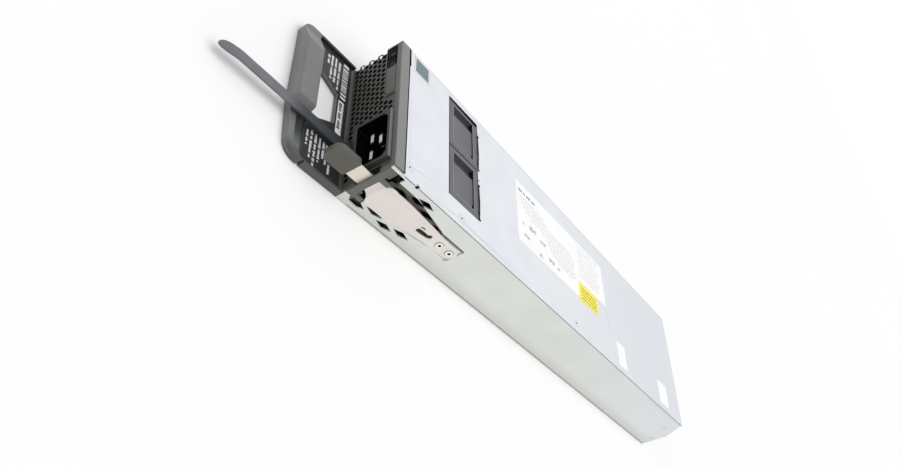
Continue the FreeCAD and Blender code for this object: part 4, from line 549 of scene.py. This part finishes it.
def filled_outlines(name, outlines, half_depth, bevel):
    """The mesh of a filled flat curve, with thickness and rounded edges."""
    curve = bpy.data.curves.new(name, "CURVE")
    curve.dimensions = "2D"
    curve.fill_mode = "BOTH"
    curve.extrude = half_depth - bevel
    curve.bevel_depth = bevel
    curve.offset = -bevel
    curve.bevel_resolution = 1
    for outline in outlines:
        spline = curve.splines.new("POLY")
        spline.points.add(len(outline) - 1)
        for point, (across, up) in zip(spline.points, outline):
            point.co = (across * MM, up * MM, 0, 1)
        spline.use_cyclic_u = True
    holder = bpy.data.objects.new(name + "_curve", curve)
    bpy.context.scene.collection.objects.link(holder)
    mesh = bpy.data.meshes.new_from_object(holder)
    bpy.data.objects.remove(holder)
    bpy.data.curves.remove(curve)
    return mesh


def plate_mesh(name, outlines, low, high, axis="z", bevel=0.0, stations=()):
    """A flat plate cut to closed outlines, the first its edge and the others its holes.

    Along Z the outlines are (x, y), along Y they are (x, z) and along X they are (y, z).
    stations are extra cuts across the outline's first direction, for a plate that is bent later.
    """
    mesh = filled_outlines(name, outlines, (high - low) / 2 * MM, bevel * MM)
    shape = bmesh.new()
    shape.from_mesh(mesh)
    bmesh.ops.remove_doubles(shape, verts=shape.verts, dist=1e-6)
    for station in stations:
        everything = shape.verts[:] + shape.edges[:] + shape.faces[:]
        bmesh.ops.bisect_plane(shape, geom=everything, plane_co=(station * MM, 0, 0), plane_no=(1, 0, 0))
    bmesh.ops.translate(shape, verts=shape.verts, vec=(0, 0, (low + high) / 2 * MM))
    bmesh.ops.transform(shape, matrix=AXES[axis], verts=shape.verts)
    bmesh.ops.recalc_face_normals(shape, faces=shape.faces)
    shape.to_mesh(mesh)
    shape.free()
    mesh.name = name
    return mesh


def rectangle(x, y):
    """The four corners of a rectangle, from its two spans."""
    return [(x[0], y[0]), (x[1], y[0]), (x[1], y[1]), (x[0], y[1])]


def arc(middle, radius, start, end, steps=8):
    """Points along an arc, its angles in degrees."""
    points = []
    for index in range(steps + 1):
        angle = math.radians(start + (end - start) * index / steps)
        points.append((middle[0] + radius * math.cos(angle), middle[1] + radius * math.sin(angle)))
    return points


def circle(middle, radius, steps=28):
    """Points of a full circle, each once."""
    return arc(middle, radius, 0, 360, steps)[:-1]


def rounded(x, y, radius, steps=5):
    """A rectangle with rounded corners."""
    points = []
    for across, up, start in ((x[1], y[1], 0), (x[0], y[1], 90), (x[0], y[0], 180), (x[1], y[0], 270)):
        middle = (across - math.copysign(radius, across - sum(x) / 2),
                  up - math.copysign(radius, up - sum(y) / 2))
        points += arc(middle, radius, start, start + 90, steps)
    return points


def ring(middle, outer, inner):
    """The two outlines of a flat ring."""
    return [circle(middle, outer), circle(middle, inner)]


def bars_mesh(name, bars, low, high):
    """Many thin rectangles in one mesh, each given as its two spans."""
    shape = bmesh.new()
    for x, y in bars:
        skin(shape, [
            [shape.verts.new((across * MM, along * MM, level * MM)) for across, along in rectangle(x, y)]
            for level in (low, high)
        ])
    return finished(shape, name)


def printed_line(start, end, middle, height, chance, lengthwise=False):
    """One printed line as plain blocks in groups; lengthwise lines run along Y, others along X."""
    bars = []
    place = start
    while place < end - height:
        for _ in range(chance.randint(2, 6)):
            width = height * chance.uniform(0.4, 0.75)
            tall = height * chance.choice((0.7, 0.85, 1.0)) / 2
            if place + width > end:
                break
            long_way = (place, place + width)
            short_way = (middle - tall, middle + tall)
            bars.append((short_way, long_way) if lengthwise else (long_way, short_way))
            place += width + height * 0.22
        place += height * 0.6
    return bars


# ---------------------------------------------------------------- finishes of the CAD nodes

EDGE_WIDTHS = {
    "base_tray": 0.12,
    "top_cover": 0.15,
    "front_bezel": 0.3,
    "ac_inlet": 0.35,
    "handle": 0.35,
    "fan_frame_left": 0.25,
    "fan_frame_right": 0.25,
    "latch_thumb_pad": 0.45,
}

for entry in frame["record"]["subparts"]:
    node = frame["nodes"][entry["node"]]
    finish = NODE_FINISHES.get(entry["node"], entry["material_slot"])
    node.data.materials.clear()
    node.data.materials.append(FINISHES[finish])

for name, width in EDGE_WIDTHS.items():
    node = frame["nodes"][name]
    weld = node.modifiers.new("weld", "WELD")
    weld.merge_threshold = 0.002 * MM
    bevel_edges(node, width)


# ---------------------------------------------------------------- latch leaf

def leaf_bend(station):
    """How far the leaf is set in from the wall at a station along Y."""
    start, end, depth = 10.6, 7.4, 1.7
    share = min(1.0, max(0.0, (start - station) / (start - end)))
    return share * share * (3 - 2 * share) * depth


def leaf_outlines():
    """The leaf's edge and its holes, as (y, z): hook slot, slit and the bores of the rivets."""
    low_edge = [(-9.4, 14.5), (4.8, 14.4), (7.0, 13.9), (9.6, 12.4), (10.8, 10.4), (11.6, 8.8),
                (13.0, 8.5), (27.0, 8.6), (51.9, 12.1), (65.6, 13.9), (72.8, 14.2)]
    tail = arc((73.0, LEAF_HEIGHT + 0.1), 5.6, -80, 80, 12)
    high_edge = [(61.6, 25.3), (49.4, 26.4), (28.7, 27.9), (12.0, 28.0), (10.6, 27.0), (9.0, 25.2),
                 (6.0, 24.5), (-9.4, 24.9)]
    hook = arc((47.2, 18.1), 1.6, 90, 270, 6)
    hook += [(49.9, 16.7), (53.0, 17.1), (55.3, 17.5), (56.9, 18.3), (57.2, 19.5), (56.5, 21.0),
             (55.4, 21.4), (54.5, 20.7), (53.5, 19.8), (51.4, 20.0), (48.8, 19.9)]
    slit = [(45.6, 20.4), (46.8, 20.7), (48.2, 21.0), (49.4, 20.9), (49.2, 21.7), (47.3, 22.1), (46.0, 21.6)]
    bores = [circle((station, LEAF_HEIGHT), 0.9, 14) for station in RIVETS]
    return [low_edge + tail + high_edge, hook, slit, *bores]


def make_leaf():
    """The leaf spring in one piece, from the thumb pad to its riveted foot."""
    stations = [*range(-4, 14), *range(20, 60, 3)]
    mesh = plate_mesh("latch_leaf", leaf_outlines(), FOOT_LOW.x, FOOT_HIGH.x, "x", 0.12, stations)
    for vertex in mesh.vertices:
        vertex.co.x -= leaf_bend(vertex.co.y / MM) * MM
    leaf = add_piece("latch_leaf", mesh, "spring_steel", None)
    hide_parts("latch_spring", "latch_spring_foot")
    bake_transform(leaf)


def make_leaf_ear():
    """The corner of the leaf that is bent outwards and catches in the bay."""
    fold = 24.6
    profile = [(0.0, 0.0), (1.05, 2.8), (1.0, 4.2), (0.3, 4.3), (0.2, 3.2), (-0.7, 0.4)]
    shape = bmesh.new()
    rings = []
    for station, reach in ((10.9, 0.55), (11.8, 0.9), (13.5, 1.0), (16.2, 1.0), (17.6, 0.8), (18.4, 0.4)):
        rings.append([
            shape.verts.new(((HALF_WIDTH - 0.1 + out * reach) * MM, station * MM, (fold + up * reach) * MM))
            for out, up in profile
        ])
    skin(shape, rings)
    ear = add_piece("leaf_ear", finished(shape, "leaf_ear"), "spring_steel", "latch")
    bevel_edges(ear, 0.12)


def make_leaf_details():
    """The bead pressed along the leaf, painted shade in the rivets' bores and round their heads, and in the
    dimple below the foot.
    """
    bead = [(18.0, 25.5), (30.0, 25.1), (49.0, 23.7), (49.0, 23.3), (30.0, 24.7), (18.0, 25.1)]
    mesh = plate_mesh("leaf_bead", [bead], HALF_WIDTH - 0.05, HALF_WIDTH + 0.12, "x", 0.04)
    add_piece("leaf_bead", mesh, "spring_steel", "latch")
    face = RIVETS_HIGH.x
    for index, station in enumerate(RIVETS):
        place = (station, LEAF_HEIGHT)
        # Painted shade: a black disc in each rivet's bore and a dark ring round its head
        bore = plate_mesh(f"rivet_bore_{index}", [circle(place, 1.0)], face - 0.1, face + 0.03, "x")
        add_piece(f"rivet_bore_{index}", bore, "deep_black", "housing")
        rim = plate_mesh(f"rivet_rim_{index}", ring(place, 2.75, 2.42), HALF_WIDTH - 0.02,
                         HALF_WIDTH + 0.05, "x")
        add_piece(f"rivet_rim_{index}", rim, "seam_shadow", "housing")
    # Painted shade in the dimple below the foot
    place = (FOOT_HIGH.y - 1.5, FOOT_LOW.z - 0.6)
    dimple = plate_mesh("wall_dimple_shade", [circle(place, 0.5, 14)], HALF_WIDTH - 0.05, HALF_WIDTH + 0.04, "x")
    add_piece("wall_dimple_shade", dimple, "seam_shadow", "housing")


make_leaf()
make_leaf_ear()
make_leaf_details()


# ---------------------------------------------------------------- cord strap

# The strap's section, as shares of its half width and of its thickness
STRAP_SECTION = [(-1, -0.3), (-0.93, -0.5), (0.93, -0.5), (1, -0.3), (1, 0.3), (0.93, 0.5),
                 (0.6, 0.5), (-0.6, 0.5), (-0.93, 0.5), (-1, 0.3)]


def strap_ring(shape, station):
    """The strap's section at a station along Y, narrowed, raised and drooped as it goes forward."""
    middle = (STRAP_LOW.x + STRAP_HIGH.x) / 2
    half = (STRAP_HIGH.x - STRAP_LOW.x) / 2
    root, tip = STRAP_HIGH.y, STRAP_LOW.y
    bend = root - STRAP_STRAIGHT
    run = min(1.0, (root - station) / STRAP_STRAIGHT)
    past = max(0.0, bend - station)
    share = past / (bend - tip)
    drop = STRAP_FALL * (share * 0.4 + share * share * 0.6)
    point = max(0.0, (share - 0.45) / 0.55)
    width = half * (1 - 0.08 * run) * math.sqrt(max(0.04, 1 - point ** 2.2))
    ridge_height, ridge_pitch = 0.28, 1.5
    ridge = ridge_height * (0.5 - 0.5 * math.cos(past / ridge_pitch * math.tau)) if 5.0 < past < 11.0 else 0.0
    level = STRAP_ROOT_TOP - STRAP_THICKNESS / 2 + STRAP_RISE * run - drop
    ring_points = []
    for side, up in STRAP_SECTION:
        lift = ridge if up > 0 and abs(side) < 0.7 else 0.0
        place = (middle + side * width, station, level + up * STRAP_THICKNESS + lift)
        ring_points.append(shape.verts.new(Vector(place) * MM))
    return ring_points


def make_strap():
    """The nylon strap: a run that rises a little, a drooping tip with ridges, and soft edges."""
    run_steps, tip_steps = 26, 18
    root, tip = STRAP_HIGH.y, STRAP_LOW.y
    bend = root - STRAP_STRAIGHT
    stations = [root - STRAP_STRAIGHT * step / run_steps for step in range(run_steps + 1)]
    stations += [bend + (tip - bend) * (step + 1) / tip_steps for step in range(tip_steps)]
    shape = bmesh.new()
    skin(shape, [strap_ring(shape, station) for station in stations])
    strap = add_piece("nylon_strap", finished(shape, "nylon_strap"), "strap_nylon", "strap")
    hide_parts("cord_strap")


make_strap()


# ---------------------------------------------------------------- front rail and inlet

def front_piece(name, outlines, finish, depth=0.05):
    """A thin piece on the bezel's front face."""
    mesh = plate_mesh(name, outlines, BEZEL_LOW.y - depth, BEZEL_LOW.y + 0.01, "y")
    add_piece(name, mesh, finish, "housing")


def shrunk(outline, x, z, inset):
    """An outline moved in from the sides of its box."""
    return [(across - math.copysign(inset, across - sum(x) / 2), up - math.copysign(inset, up - sum(z) / 2))
            for across, up in outline]


def make_rail_details():
    """Black surrounds of the two lamps, the sunk field beside them and its plain marks."""
    left, right = LENS_LOW.x, LENS_HIGH.x - LENS_WIDTH
    surrounds = (
        (left, (-HALF_WIDTH + 1.5, left + LENS_WIDTH + 0.5)),
        (right, (right - 1.1, right + LENS_WIDTH - 0.3)),
    )
    around_z, lens_z = (LENS_LOW.z - 0.9, LENS_HIGH.z + 1.3), (LENS_LOW.z + 0.1, LENS_HIGH.z - 0.1)
    for index, (start, around_x) in enumerate(surrounds):
        lens_x = (start + 0.1, start + LENS_WIDTH - 0.4)
        front_piece(f"lamp_surround_{index}", [rectangle(around_x, around_z), rectangle(lens_x, lens_z)],
                    "deep_black")
    field_x = (LENS_HIGH.x + 0.2, LENS_HIGH.x + 23.3)
    field_z = (LENS_LOW.z - 1.1, LENS_HIGH.z + 1.2)
    corner = 2.4
    field = [(field_x[0], field_z[1]), (field_x[0], field_z[0])]
    field += arc((field_x[1] - corner, field_z[0] + corner), corner, -90, 0, 5)
    field += arc((field_x[1] - corner, field_z[1] - corner), corner, 0, 90, 5)
    inner = shrunk(field, field_x, field_z, 0.35)
    front_piece("rail_field_edge", [field, inner], "deep_black", 0.03)
    front_piece("rail_field", [inner], "grille_plastic", 0.02)
    for index, reach in enumerate((2.0, 6.4, 11.4, 15.8)):
        middle = (field_x[0] + reach, field_z[0] + 3.9)
        front_piece(f"rail_mark_{index}", ring(middle, 0.85, 0.5), "dark_plastic")


def make_inlet_lining():
    """A black lining of painted shade over the unlit walls and floor of the inlet's socket, from just behind
    its mouth.
    """
    wall = INLET_COLLAR + INLET_WALL
    low_x, high_x = INLET_LOW.x + wall + 0.05, INLET_HIGH.x - wall - 0.05
    low_z, high_z = SOCKET_LOW + 0.05, SOCKET_HIGH - 0.15
    front, back = INLET_LOW.y + 0.5, INLET_LOW.y + SOCKET_DEPTH - 0.1
    outline = [
        (low_x, low_z),
        (high_x, low_z),
        (high_x, high_z - SOCKET_CHAMFER),
        (high_x - SOCKET_CHAMFER, high_z),
        (low_x + SOCKET_CHAMFER, high_z),
        (low_x, high_z - SOCKET_CHAMFER),
    ]
    shape = bmesh.new()
    mouth, floor = [
        [shape.verts.new((across * MM, station * MM, up * MM)) for across, up in outline]
        for station in (front, back)
    ]
    for index in range(len(outline)):
        following = (index + 1) % len(outline)
        shape.faces.new((mouth[index], mouth[following], floor[following], floor[index]))
    shape.faces.new(floor)
    # Painted shade
    lining = add_piece("inlet_socket_shade", finished(shape, "inlet_socket_shade"), "deep_black", "housing")
    thickness = lining.modifiers.new("wall", "SOLIDIFY")
    thickness.thickness = 0.04 * MM
    thickness.offset = 0


def make_grille_liner():
    """Black film of painted shade behind the side cells of the grille, which wrap round the left corner."""
    wall = 1.45
    film_y, film_z = (GRILLE_FRONT + wall, GRILLE_HIGH.y), (GRILLE_LOW.z + 0.2, GRILLE_HIGH.z - 8.4)
    film = plate_mesh("grille_shade_film", [rectangle(film_y, film_z)], wall - HALF_WIDTH,
                      wall + 0.05 - HALF_WIDTH, "x")
    add_piece("grille_shade_film", film, "deep_black", "housing")


make_rail_details()
make_inlet_lining()
make_grille_liner()


# ---------------------------------------------------------------- seams, screws and rivets

def flat_on_cover(name, outlines, finish, lift=0.0, depth=INK_SKIN):
    """A thin piece on the cover's upper face."""
    low = COVER_TOP + lift
    add_piece(name, plate_mesh(name, outlines, low, low + depth), finish, "housing")


def flat_on_side(name, outlines, finish, side=1):
    """A thin piece on the right wall, or on the left one where side is -1."""
    low, high = sorted((side * (HALF_WIDTH - 0.02), side * (HALF_WIDTH + 0.04)))
    add_piece(name, plate_mesh(name, outlines, low, high, "x"), finish, "housing")


def make_seams():
    """Painted shadow lines where the cover and the bezel meet the tray and along the folds of the sheet, and
    painted shade in a notch at the cover's edge.
    """
    left, right, corner, gap = 0.3 - HALF_WIDTH, HALF_WIDTH - 0.2, -35.5, COVER_LOW.y
    # Painted shadow in the gap between the bezel and the cover
    flat_on_cover("bezel_gap_shadow", [[
        (left, gap - 0.7), (corner, gap - 0.4), (right, gap - 0.2), (right, gap + 0.6),
        (corner, gap + 0.4), (corner - 0.4, gap + 1.2), (left, gap + 0.7),
    ]], "deep_black", 0.0, BEZEL_GAP_SKIN)
    for side, label in ((1, "right"), (-1, "left")):
        seam = rectangle((9.0, COVER_REAR), (TRAY_TOP - 0.28, TRAY_TOP + 0.08))
        lip = rectangle((COVER_REAR - 59.4, COVER_REAR - 5.4), (COVER_LOW.z + 0.1, COVER_LOW.z + 0.3))
        fold = rectangle((8.0, TRAY_REAR - 0.4), (0.35, 0.75))
        flat_on_side(f"cover_seam_{label}", [seam], "seam_shadow", side)
        flat_on_side(f"lip_line_{label}", [lip], "soft_line", side)
        flat_on_side(f"floor_fold_{label}", [fold], "fold_shadow", side)
    crease = rectangle((1.9 - HALF_WIDTH, 2.1 - HALF_WIDTH), (27.0, COVER_REAR - 1.0))
    flat_on_cover("cover_crease", [crease], "faint_line")
    # Painted shade in a notch at the seam
    notch = rectangle((SEAM_NOTCH - 0.7, SEAM_NOTCH + 0.9), (COVER_TOP - 2.1, COVER_TOP - 0.05))
    flat_on_side("edge_notch_shade", [notch], "deep_black")
    step = rectangle((2.6, 24.0), (RATING_REAR, RATING_REAR + 0.3))
    flat_on_cover("cover_step", [step], "faint_line")


def make_fastener_details():
    """Painted shadow rings round the cover screws and painted shade in their drive recesses, and the rivet
    pairs at the rear of the right wall with a painted shade ring round each.
    """
    for index, place in enumerate(COVER_SCREWS):
        # Painted shadow round each screw head and painted shade in its drive recess
        flat_on_cover(f"screw_rim_{index}", ring(place, 2.8, HEAD_RADIUS), "faint_line")
        mark = [(place[0] + across * 0.6, place[1] + along * 0.9) for across, along in circle((0, 0), 1, 12)]
        flat_on_cover(f"screw_mark_{index}", [mark], "seam_shadow")
    for index, (inset, height) in enumerate(((16.0, 27.0), (13.4, 27.0), (5.4, 9.9), (2.6, 9.9))):
        place = (TRAY_REAR - inset, height)
        head = plate_mesh(f"rear_rivet_{index}", [circle(place, 1.15)], HALF_WIDTH - 0.05,
                          HALF_WIDTH + 0.3, "x", 0.12)
        add_piece(f"rear_rivet_{index}", head, "sheet_steel", "housing")
        # Painted shade ring round each rear rivet
        flat_on_side(f"rear_rivet_rim_{index}", [circle(place, 1.4)], "soft_line")


def make_fan_lines():
    """Black film for painted shade in the gaps beside and between the fans, and painted highlights along the
    edges of their panels.
    """
    front, rear = LEFT_FAN_LOW.y, LEFT_FAN_HIGH.y
    left, window_front, window_rear = LEFT_FAN_LOW.x - 1.076, front - 0.85, WINDOW_REAR - 0.2
    between = (LEFT_FAN_HIGH.x - 0.026, RIGHT_FAN_LOW.x + 0.074)
    # Painted shade in the gaps
    gaps = {
        "window_gap_shade": [
            (left, window_front), (left + 1.8, window_front), (left + 3.2, window_rear), (left, window_rear),
        ],
        "fan_gap_shade": rectangle(between, (front + 0.05, rear - 0.05)),
    }
    for name, outline in gaps.items():
        gap = plate_mesh(name, [outline], FAN_TOP + 0.02, FAN_TOP + 0.06)
        add_piece(name, gap, "deep_black", "housing")
    # Painted highlights along the edges of each panel
    for index, fan_left in enumerate((LEFT_FAN_LOW.x, RIGHT_FAN_LOW.x)):
        across, along = (fan_left + 2.7, fan_left + 34.9), (front + 3.45, rear - 3.55)
        edges = [(across, (along[0], along[0] + 0.45)), (across, (along[1] - 0.45, along[1])),
                 ((across[0], across[0] + 0.5), along), ((across[1] - 0.4, across[1]), along)]
        lines = bars_mesh(f"fan_edge_highlight_{index}", edges, FAN_TOP, FAN_TOP + 0.05)
        add_piece(f"fan_edge_highlight_{index}", lines, "fan_edge_highlight", "housing")


def make_window_slits():
    """Black film for painted shade in slits along the rear edge of the fan window, with a round notch at each
    end.
    """
    edge = WINDOW_REAR - 0.2
    for index, (start, end) in enumerate(((-35.2, -6.0), (7.0, 34.0))):
        middle = (start + end) / 2
        slit = [(start, edge), (end, edge), (end, edge + 1.0), (middle, edge + 1.6), (start, edge + 1.0)]
        # Painted shade in the slit and its end notches
        flat_on_cover(f"window_slit_{index}", [slit], "deep_black")
        for corner, station in enumerate((start, end)):
            flat_on_cover(f"window_notch_{index}_{corner}", [circle((station, edge + 0.9), 0.95, 12)],
                          "deep_black", 0.01)


make_seams()
make_fastener_details()
make_fan_lines()
make_window_slits()


# ---------------------------------------------------------------- labels on the cover

def cover_label(name, outline, finish, lift=0.0):
    """A sticker on the cover; lift puts it on top of another one."""
    flat_on_cover(name, [outline], finish, lift, LABEL_SKIN)


def cover_print(name, bars, finish, lift=0.0):
    """Plain blocks printed on a label of the cover."""
    low = COVER_TOP + LABEL_SKIN + lift
    add_piece(name, bars_mesh(name, bars, low, low + INK_SKIN), finish, "housing")


# The rating label's printed lines, each as its start and end behind the label's front edge
RATING_LINES = ((1, 30), (2, 36), (4, 40), (6, 72), (8, 74), (14, 76), (30, 76), (34, 76), (36, 74),
                (40, 76), (42, 76), (50, 74))
# Its larger marks: place along X and Y, width and length
RATING_MARKS = ((-1.9, 135.0, 3.2, 8.0), (9.0, 127.5, 2.0, 6.5), (0.2, 126.0, 1.4, 3.0),
                (1.2, 148.0, 2.4, 7.0), (9.5, 158.5, 3.0, 7.0), (13.4, 146.0, 2.6, 4.6),
                (11.0, 169.0, 2.0, 4.0))


def make_rating_label():
    """The large white label: plain blocks stand for its heading, lines and marks."""
    left, right, step = -33.5, 18.4, 3.2
    front, narrow, rear = 120.0, 200.0, RATING_REAR
    cover_label("rating_label", [
        (left, front), (right, front), (right, narrow), (step, narrow), (step, rear), (left, rear),
    ], "label_white")
    chance = random.Random(3)
    heading = printed_line(front + 3, front + 24, left + 7.0, 2.0, chance, True)
    cover_print("rating_heading", heading, "ink_dark")
    lines = []
    for row, (start, end) in enumerate(RATING_LINES):
        across = left + 11.5 + row * 2.6
        lines += printed_line(front + start + 2, front + end, across, 0.9, chance, True)
    for row in range(9):
        lines += printed_line(narrow + 3, rear - 6 - 2 * (row % 3), left + 3 + row * 3.4, 0.9, chance, True)
    cover_print("rating_lines", lines, "ink_pale")
    marks = []
    for across, along, wide, long in RATING_MARKS:
        for side in (-0.3, 0.3):
            marks += printed_line(along, along + long, across + wide / 2 + side * wide, wide * 0.45,
                                  chance, True)
    cover_print("rating_marks", marks, "ink_grey")


def make_notice_label():
    """The yellow label at the rating label's corner, a little askew."""
    cover_label("notice_label", [(4.6, 199.6), (3.2, 227.6), (19.3, 226.2), (20.1, 198.4)],
                "label_yellow", LABEL_SKIN)
    chance = random.Random(17)
    lines = []
    for row in range(4):
        lines += printed_line(202.5, 224.5, 8.2 + row * 2.9, 1.3, chance, True)
    cover_print("notice_lines", lines, "ink_olive", LABEL_SKIN)


def make_small_labels():
    """Two bare white labels at the right, and the teal one with a white edge near the fans."""
    for index, (x, y) in enumerate((((26.7, 46.8), (251.6, 264.4)), ((26.5, 46.5), (321.0, 337.2)))):
        cover_label(f"small_label_{index}", rounded(x, y, 0.8), "label_white")
    flat_on_cover("fan_label_rim", [
        rounded((-49.0, -35.1), (11.7, 25.8), 0.8), rounded((-48.6, -35.5), (12.1, 25.4), 0.5),
    ], "ink_grey")
    cover_label("fan_label_edge", rounded((-48.7, -35.4), (12.0, 25.5), 0.6), "label_white")
    cover_label("fan_label", rounded((-47.9, -36.2), (12.8, 24.7), 0.4), "label_teal", LABEL_SKIN)


make_rating_label()
make_notice_label()
make_small_labels()


# ---------------------------------------------------------------- handle label

LABEL_TOP = HANDLE_FLOOR + LABEL_SKIN
# The label's printed lines: place along Y, start and end along X
HANDLE_LINES = ((-20.2, -44.0, -35.5), (-17.4, -45.5, -25.0), (-14.4, -46.0, -24.0), (-11.3, -45.0, -21.0),
                (-27.4, 25.0, 37.0), (-24.3, 23.0, 45.5), (-21.2, 23.5, 48.0), (-18.1, 24.0, 42.3),
                (-15.2, 24.5, 37.5), (-12.9, 25.0, 41.5), (-10.1, 34.0, 45.5))


def handle_print(name, mesh, finish):
    """A piece of the handle's label."""
    add_piece(name, mesh, finish, "housing")


def code_bars(chance):
    """Upright bars of uneven width, with a line of blocks and a row of small squares beside them."""
    bars = []
    place = -45.4
    while place < -18.8:
        width = 0.8 + 0.8 * chance.random()
        bars.append(((place, place + width), (-8.1, -4.0)))
        place += width + 0.8 + 0.8 * chance.random()
    start, square, pitch = -14.0, 0.5, 1.3
    bars += printed_line(start, 8.5, -7.0, 2.2, chance)
    for step in range(18):
        bars.append(((start + step * pitch, start + square + step * pitch), (-4.9, -4.2)))
    return bars


def make_handle_label():
    """Black label on the handle's floor, with plain light blocks for its printed lines."""
    inner = HALF_WIDTH - 1.7
    front, rear = SEAT_FRONT + 0.1, -1.4
    outline = [
        (-inner, rear), (-inner, front), (-29.3, front), (-18.7, -10.0),
        (5.3, -10.0), (14.0, -26.3), (8.8, front), (inner, front), (inner, rear),
    ]
    label = plate_mesh("handle_label", [outline], HANDLE_FLOOR, LABEL_TOP)
    handle_print("handle_label", label, "label_black")
    chance = random.Random(2)
    bars = []
    for along, start, end in HANDLE_LINES:
        bars += printed_line(start, end, along, 1.7, chance)
    lines = bars_mesh("handle_lines", bars, LABEL_TOP, LABEL_TOP + INK_SKIN)
    handle_print("handle_lines", lines, "ink_white")
    for index, (x, y) in enumerate((((-48.0, -17.9), (-8.2, -3.9)), ((-15.6, 10.8), (-8.9, -4.3)))):
        strip = plate_mesh(f"code_strip_{index}", [rounded(x, y, 0.9)], LABEL_TOP, LABEL_TOP + INK_SKIN)
        handle_print(f"code_strip_{index}", strip, "ink_white")
    stripes = bars_mesh("code_stripes", code_bars(chance), LABEL_TOP + INK_SKIN, LABEL_TOP + INK_SKIN * 2)
    handle_print("code_stripes", stripes, "ink_black")
    wrap = plate_mesh("label_wrap", [rectangle((-HALF_WIDTH, -HALF_WIDTH + 1.62), (-28.8, -0.3))],
                      HANDLE_FLOOR + 0.2, HANDLE_RIM + 0.08)
    handle_print("label_wrap", wrap, "label_black")


make_handle_label()


# ---------------------------------------------------------------- stage, light and camera

def make_stage():
    """A wide pale floor just below the part."""
    shape = bmesh.new()
    bmesh.ops.create_grid(shape, x_segments=2, y_segments=2, size=30.0)
    mesh = bpy.data.meshes.new("floor")
    shape.to_mesh(mesh)
    shape.free()
    floor = bpy.data.objects.new("floor", mesh)
    floor.location = (0, 0, cad_box[0].z - 0.0005)
    bpy.context.scene.collection.objects.link(floor)
    finish = Finish("pale_floor", (0.97, 0.97, 0.97, 1.0), 0.9, specular=0.0)
    floor.data.materials.append(finish.mottled(0.6, 0.005).material)


def make_world():
    """An even pale room: it lights at a plain level, and is white where it is seen or mirrored."""
    room_level, backdrop_level = 0.62, 1.0
    world = bpy.data.worlds.new("studio")
    world.use_nodes = True
    nodes, links = world.node_tree.nodes, world.node_tree.links
    room = nodes["Background"]
    room.inputs["Color"].default_value = (1.0, 1.0, 1.0, 1.0)
    room.inputs["Strength"].default_value = room_level
    backdrop = nodes.new("ShaderNodeBackground")
    backdrop.inputs["Color"].default_value = (1.0, 1.0, 1.0, 1.0)
    backdrop.inputs["Strength"].default_value = backdrop_level
    path = nodes.new("ShaderNodeLightPath")
    seen = path.outputs["Is Camera Ray"]
    for name in ("Is Glossy Ray", "Is Transmission Ray"):
        either = nodes.new("ShaderNodeMath")
        either.operation = "MAXIMUM"
        links.new(seen, either.inputs[0])
        links.new(path.outputs[name], either.inputs[1])
        seen = either.outputs["Value"]
    mixed = nodes.new("ShaderNodeMixShader")
    links.new(seen, mixed.inputs["Fac"])
    links.new(room.outputs["Background"], mixed.inputs[1])
    links.new(backdrop.outputs["Background"], mixed.inputs[2])
    links.new(mixed.outputs["Shader"], nodes["World Output"].inputs["Surface"])
    bpy.context.scene.world = world


def add_sun(name, direction, strength, spread):
    """Wide soft light from far away; direction points from the part towards it.

    Polished faces mirror the even room instead of the lamp, so pale steel keeps its colour.
    """
    data = bpy.data.lights.new(name, "SUN")
    data.energy = strength
    data.angle = math.radians(spread)
    light = bpy.data.objects.new(name, data)
    light.rotation_mode = "QUATERNION"
    light.rotation_quaternion = Vector(direction).to_track_quat("Z", "Y")
    light.location = Vector(direction)
    light.visible_glossy = False
    bpy.context.scene.collection.objects.link(light)


def make_camera():
    """A camera above the front right corner, rolled as the photograph is."""
    right = Vector((0.034876, 0.549524, 0.834750))
    down = Vector((0.780139, 0.507077, -0.366408))
    forward = right.cross(down)
    data = bpy.data.cameras.new("camera")
    data.sensor_width = 36.0
    data.lens = 33.0
    data.shift_x = -0.0541
    data.shift_y = 0.0142
    data.clip_start = 0.01
    camera = bpy.data.objects.new("camera", data)
    turn = Matrix((right, -down, -forward)).transposed()
    camera.matrix_world = Matrix.Translation((0.34518, -0.22687, 0.23949)) @ turn.to_4x4()
    bpy.context.scene.collection.objects.link(camera)
    bpy.context.scene.camera = camera


make_stage()
make_world()
add_sun("key", (0.3, 0.15, 1.0), 1.35, 60)
make_camera()
bpy.context.scene.view_settings.view_transform = "Standard"
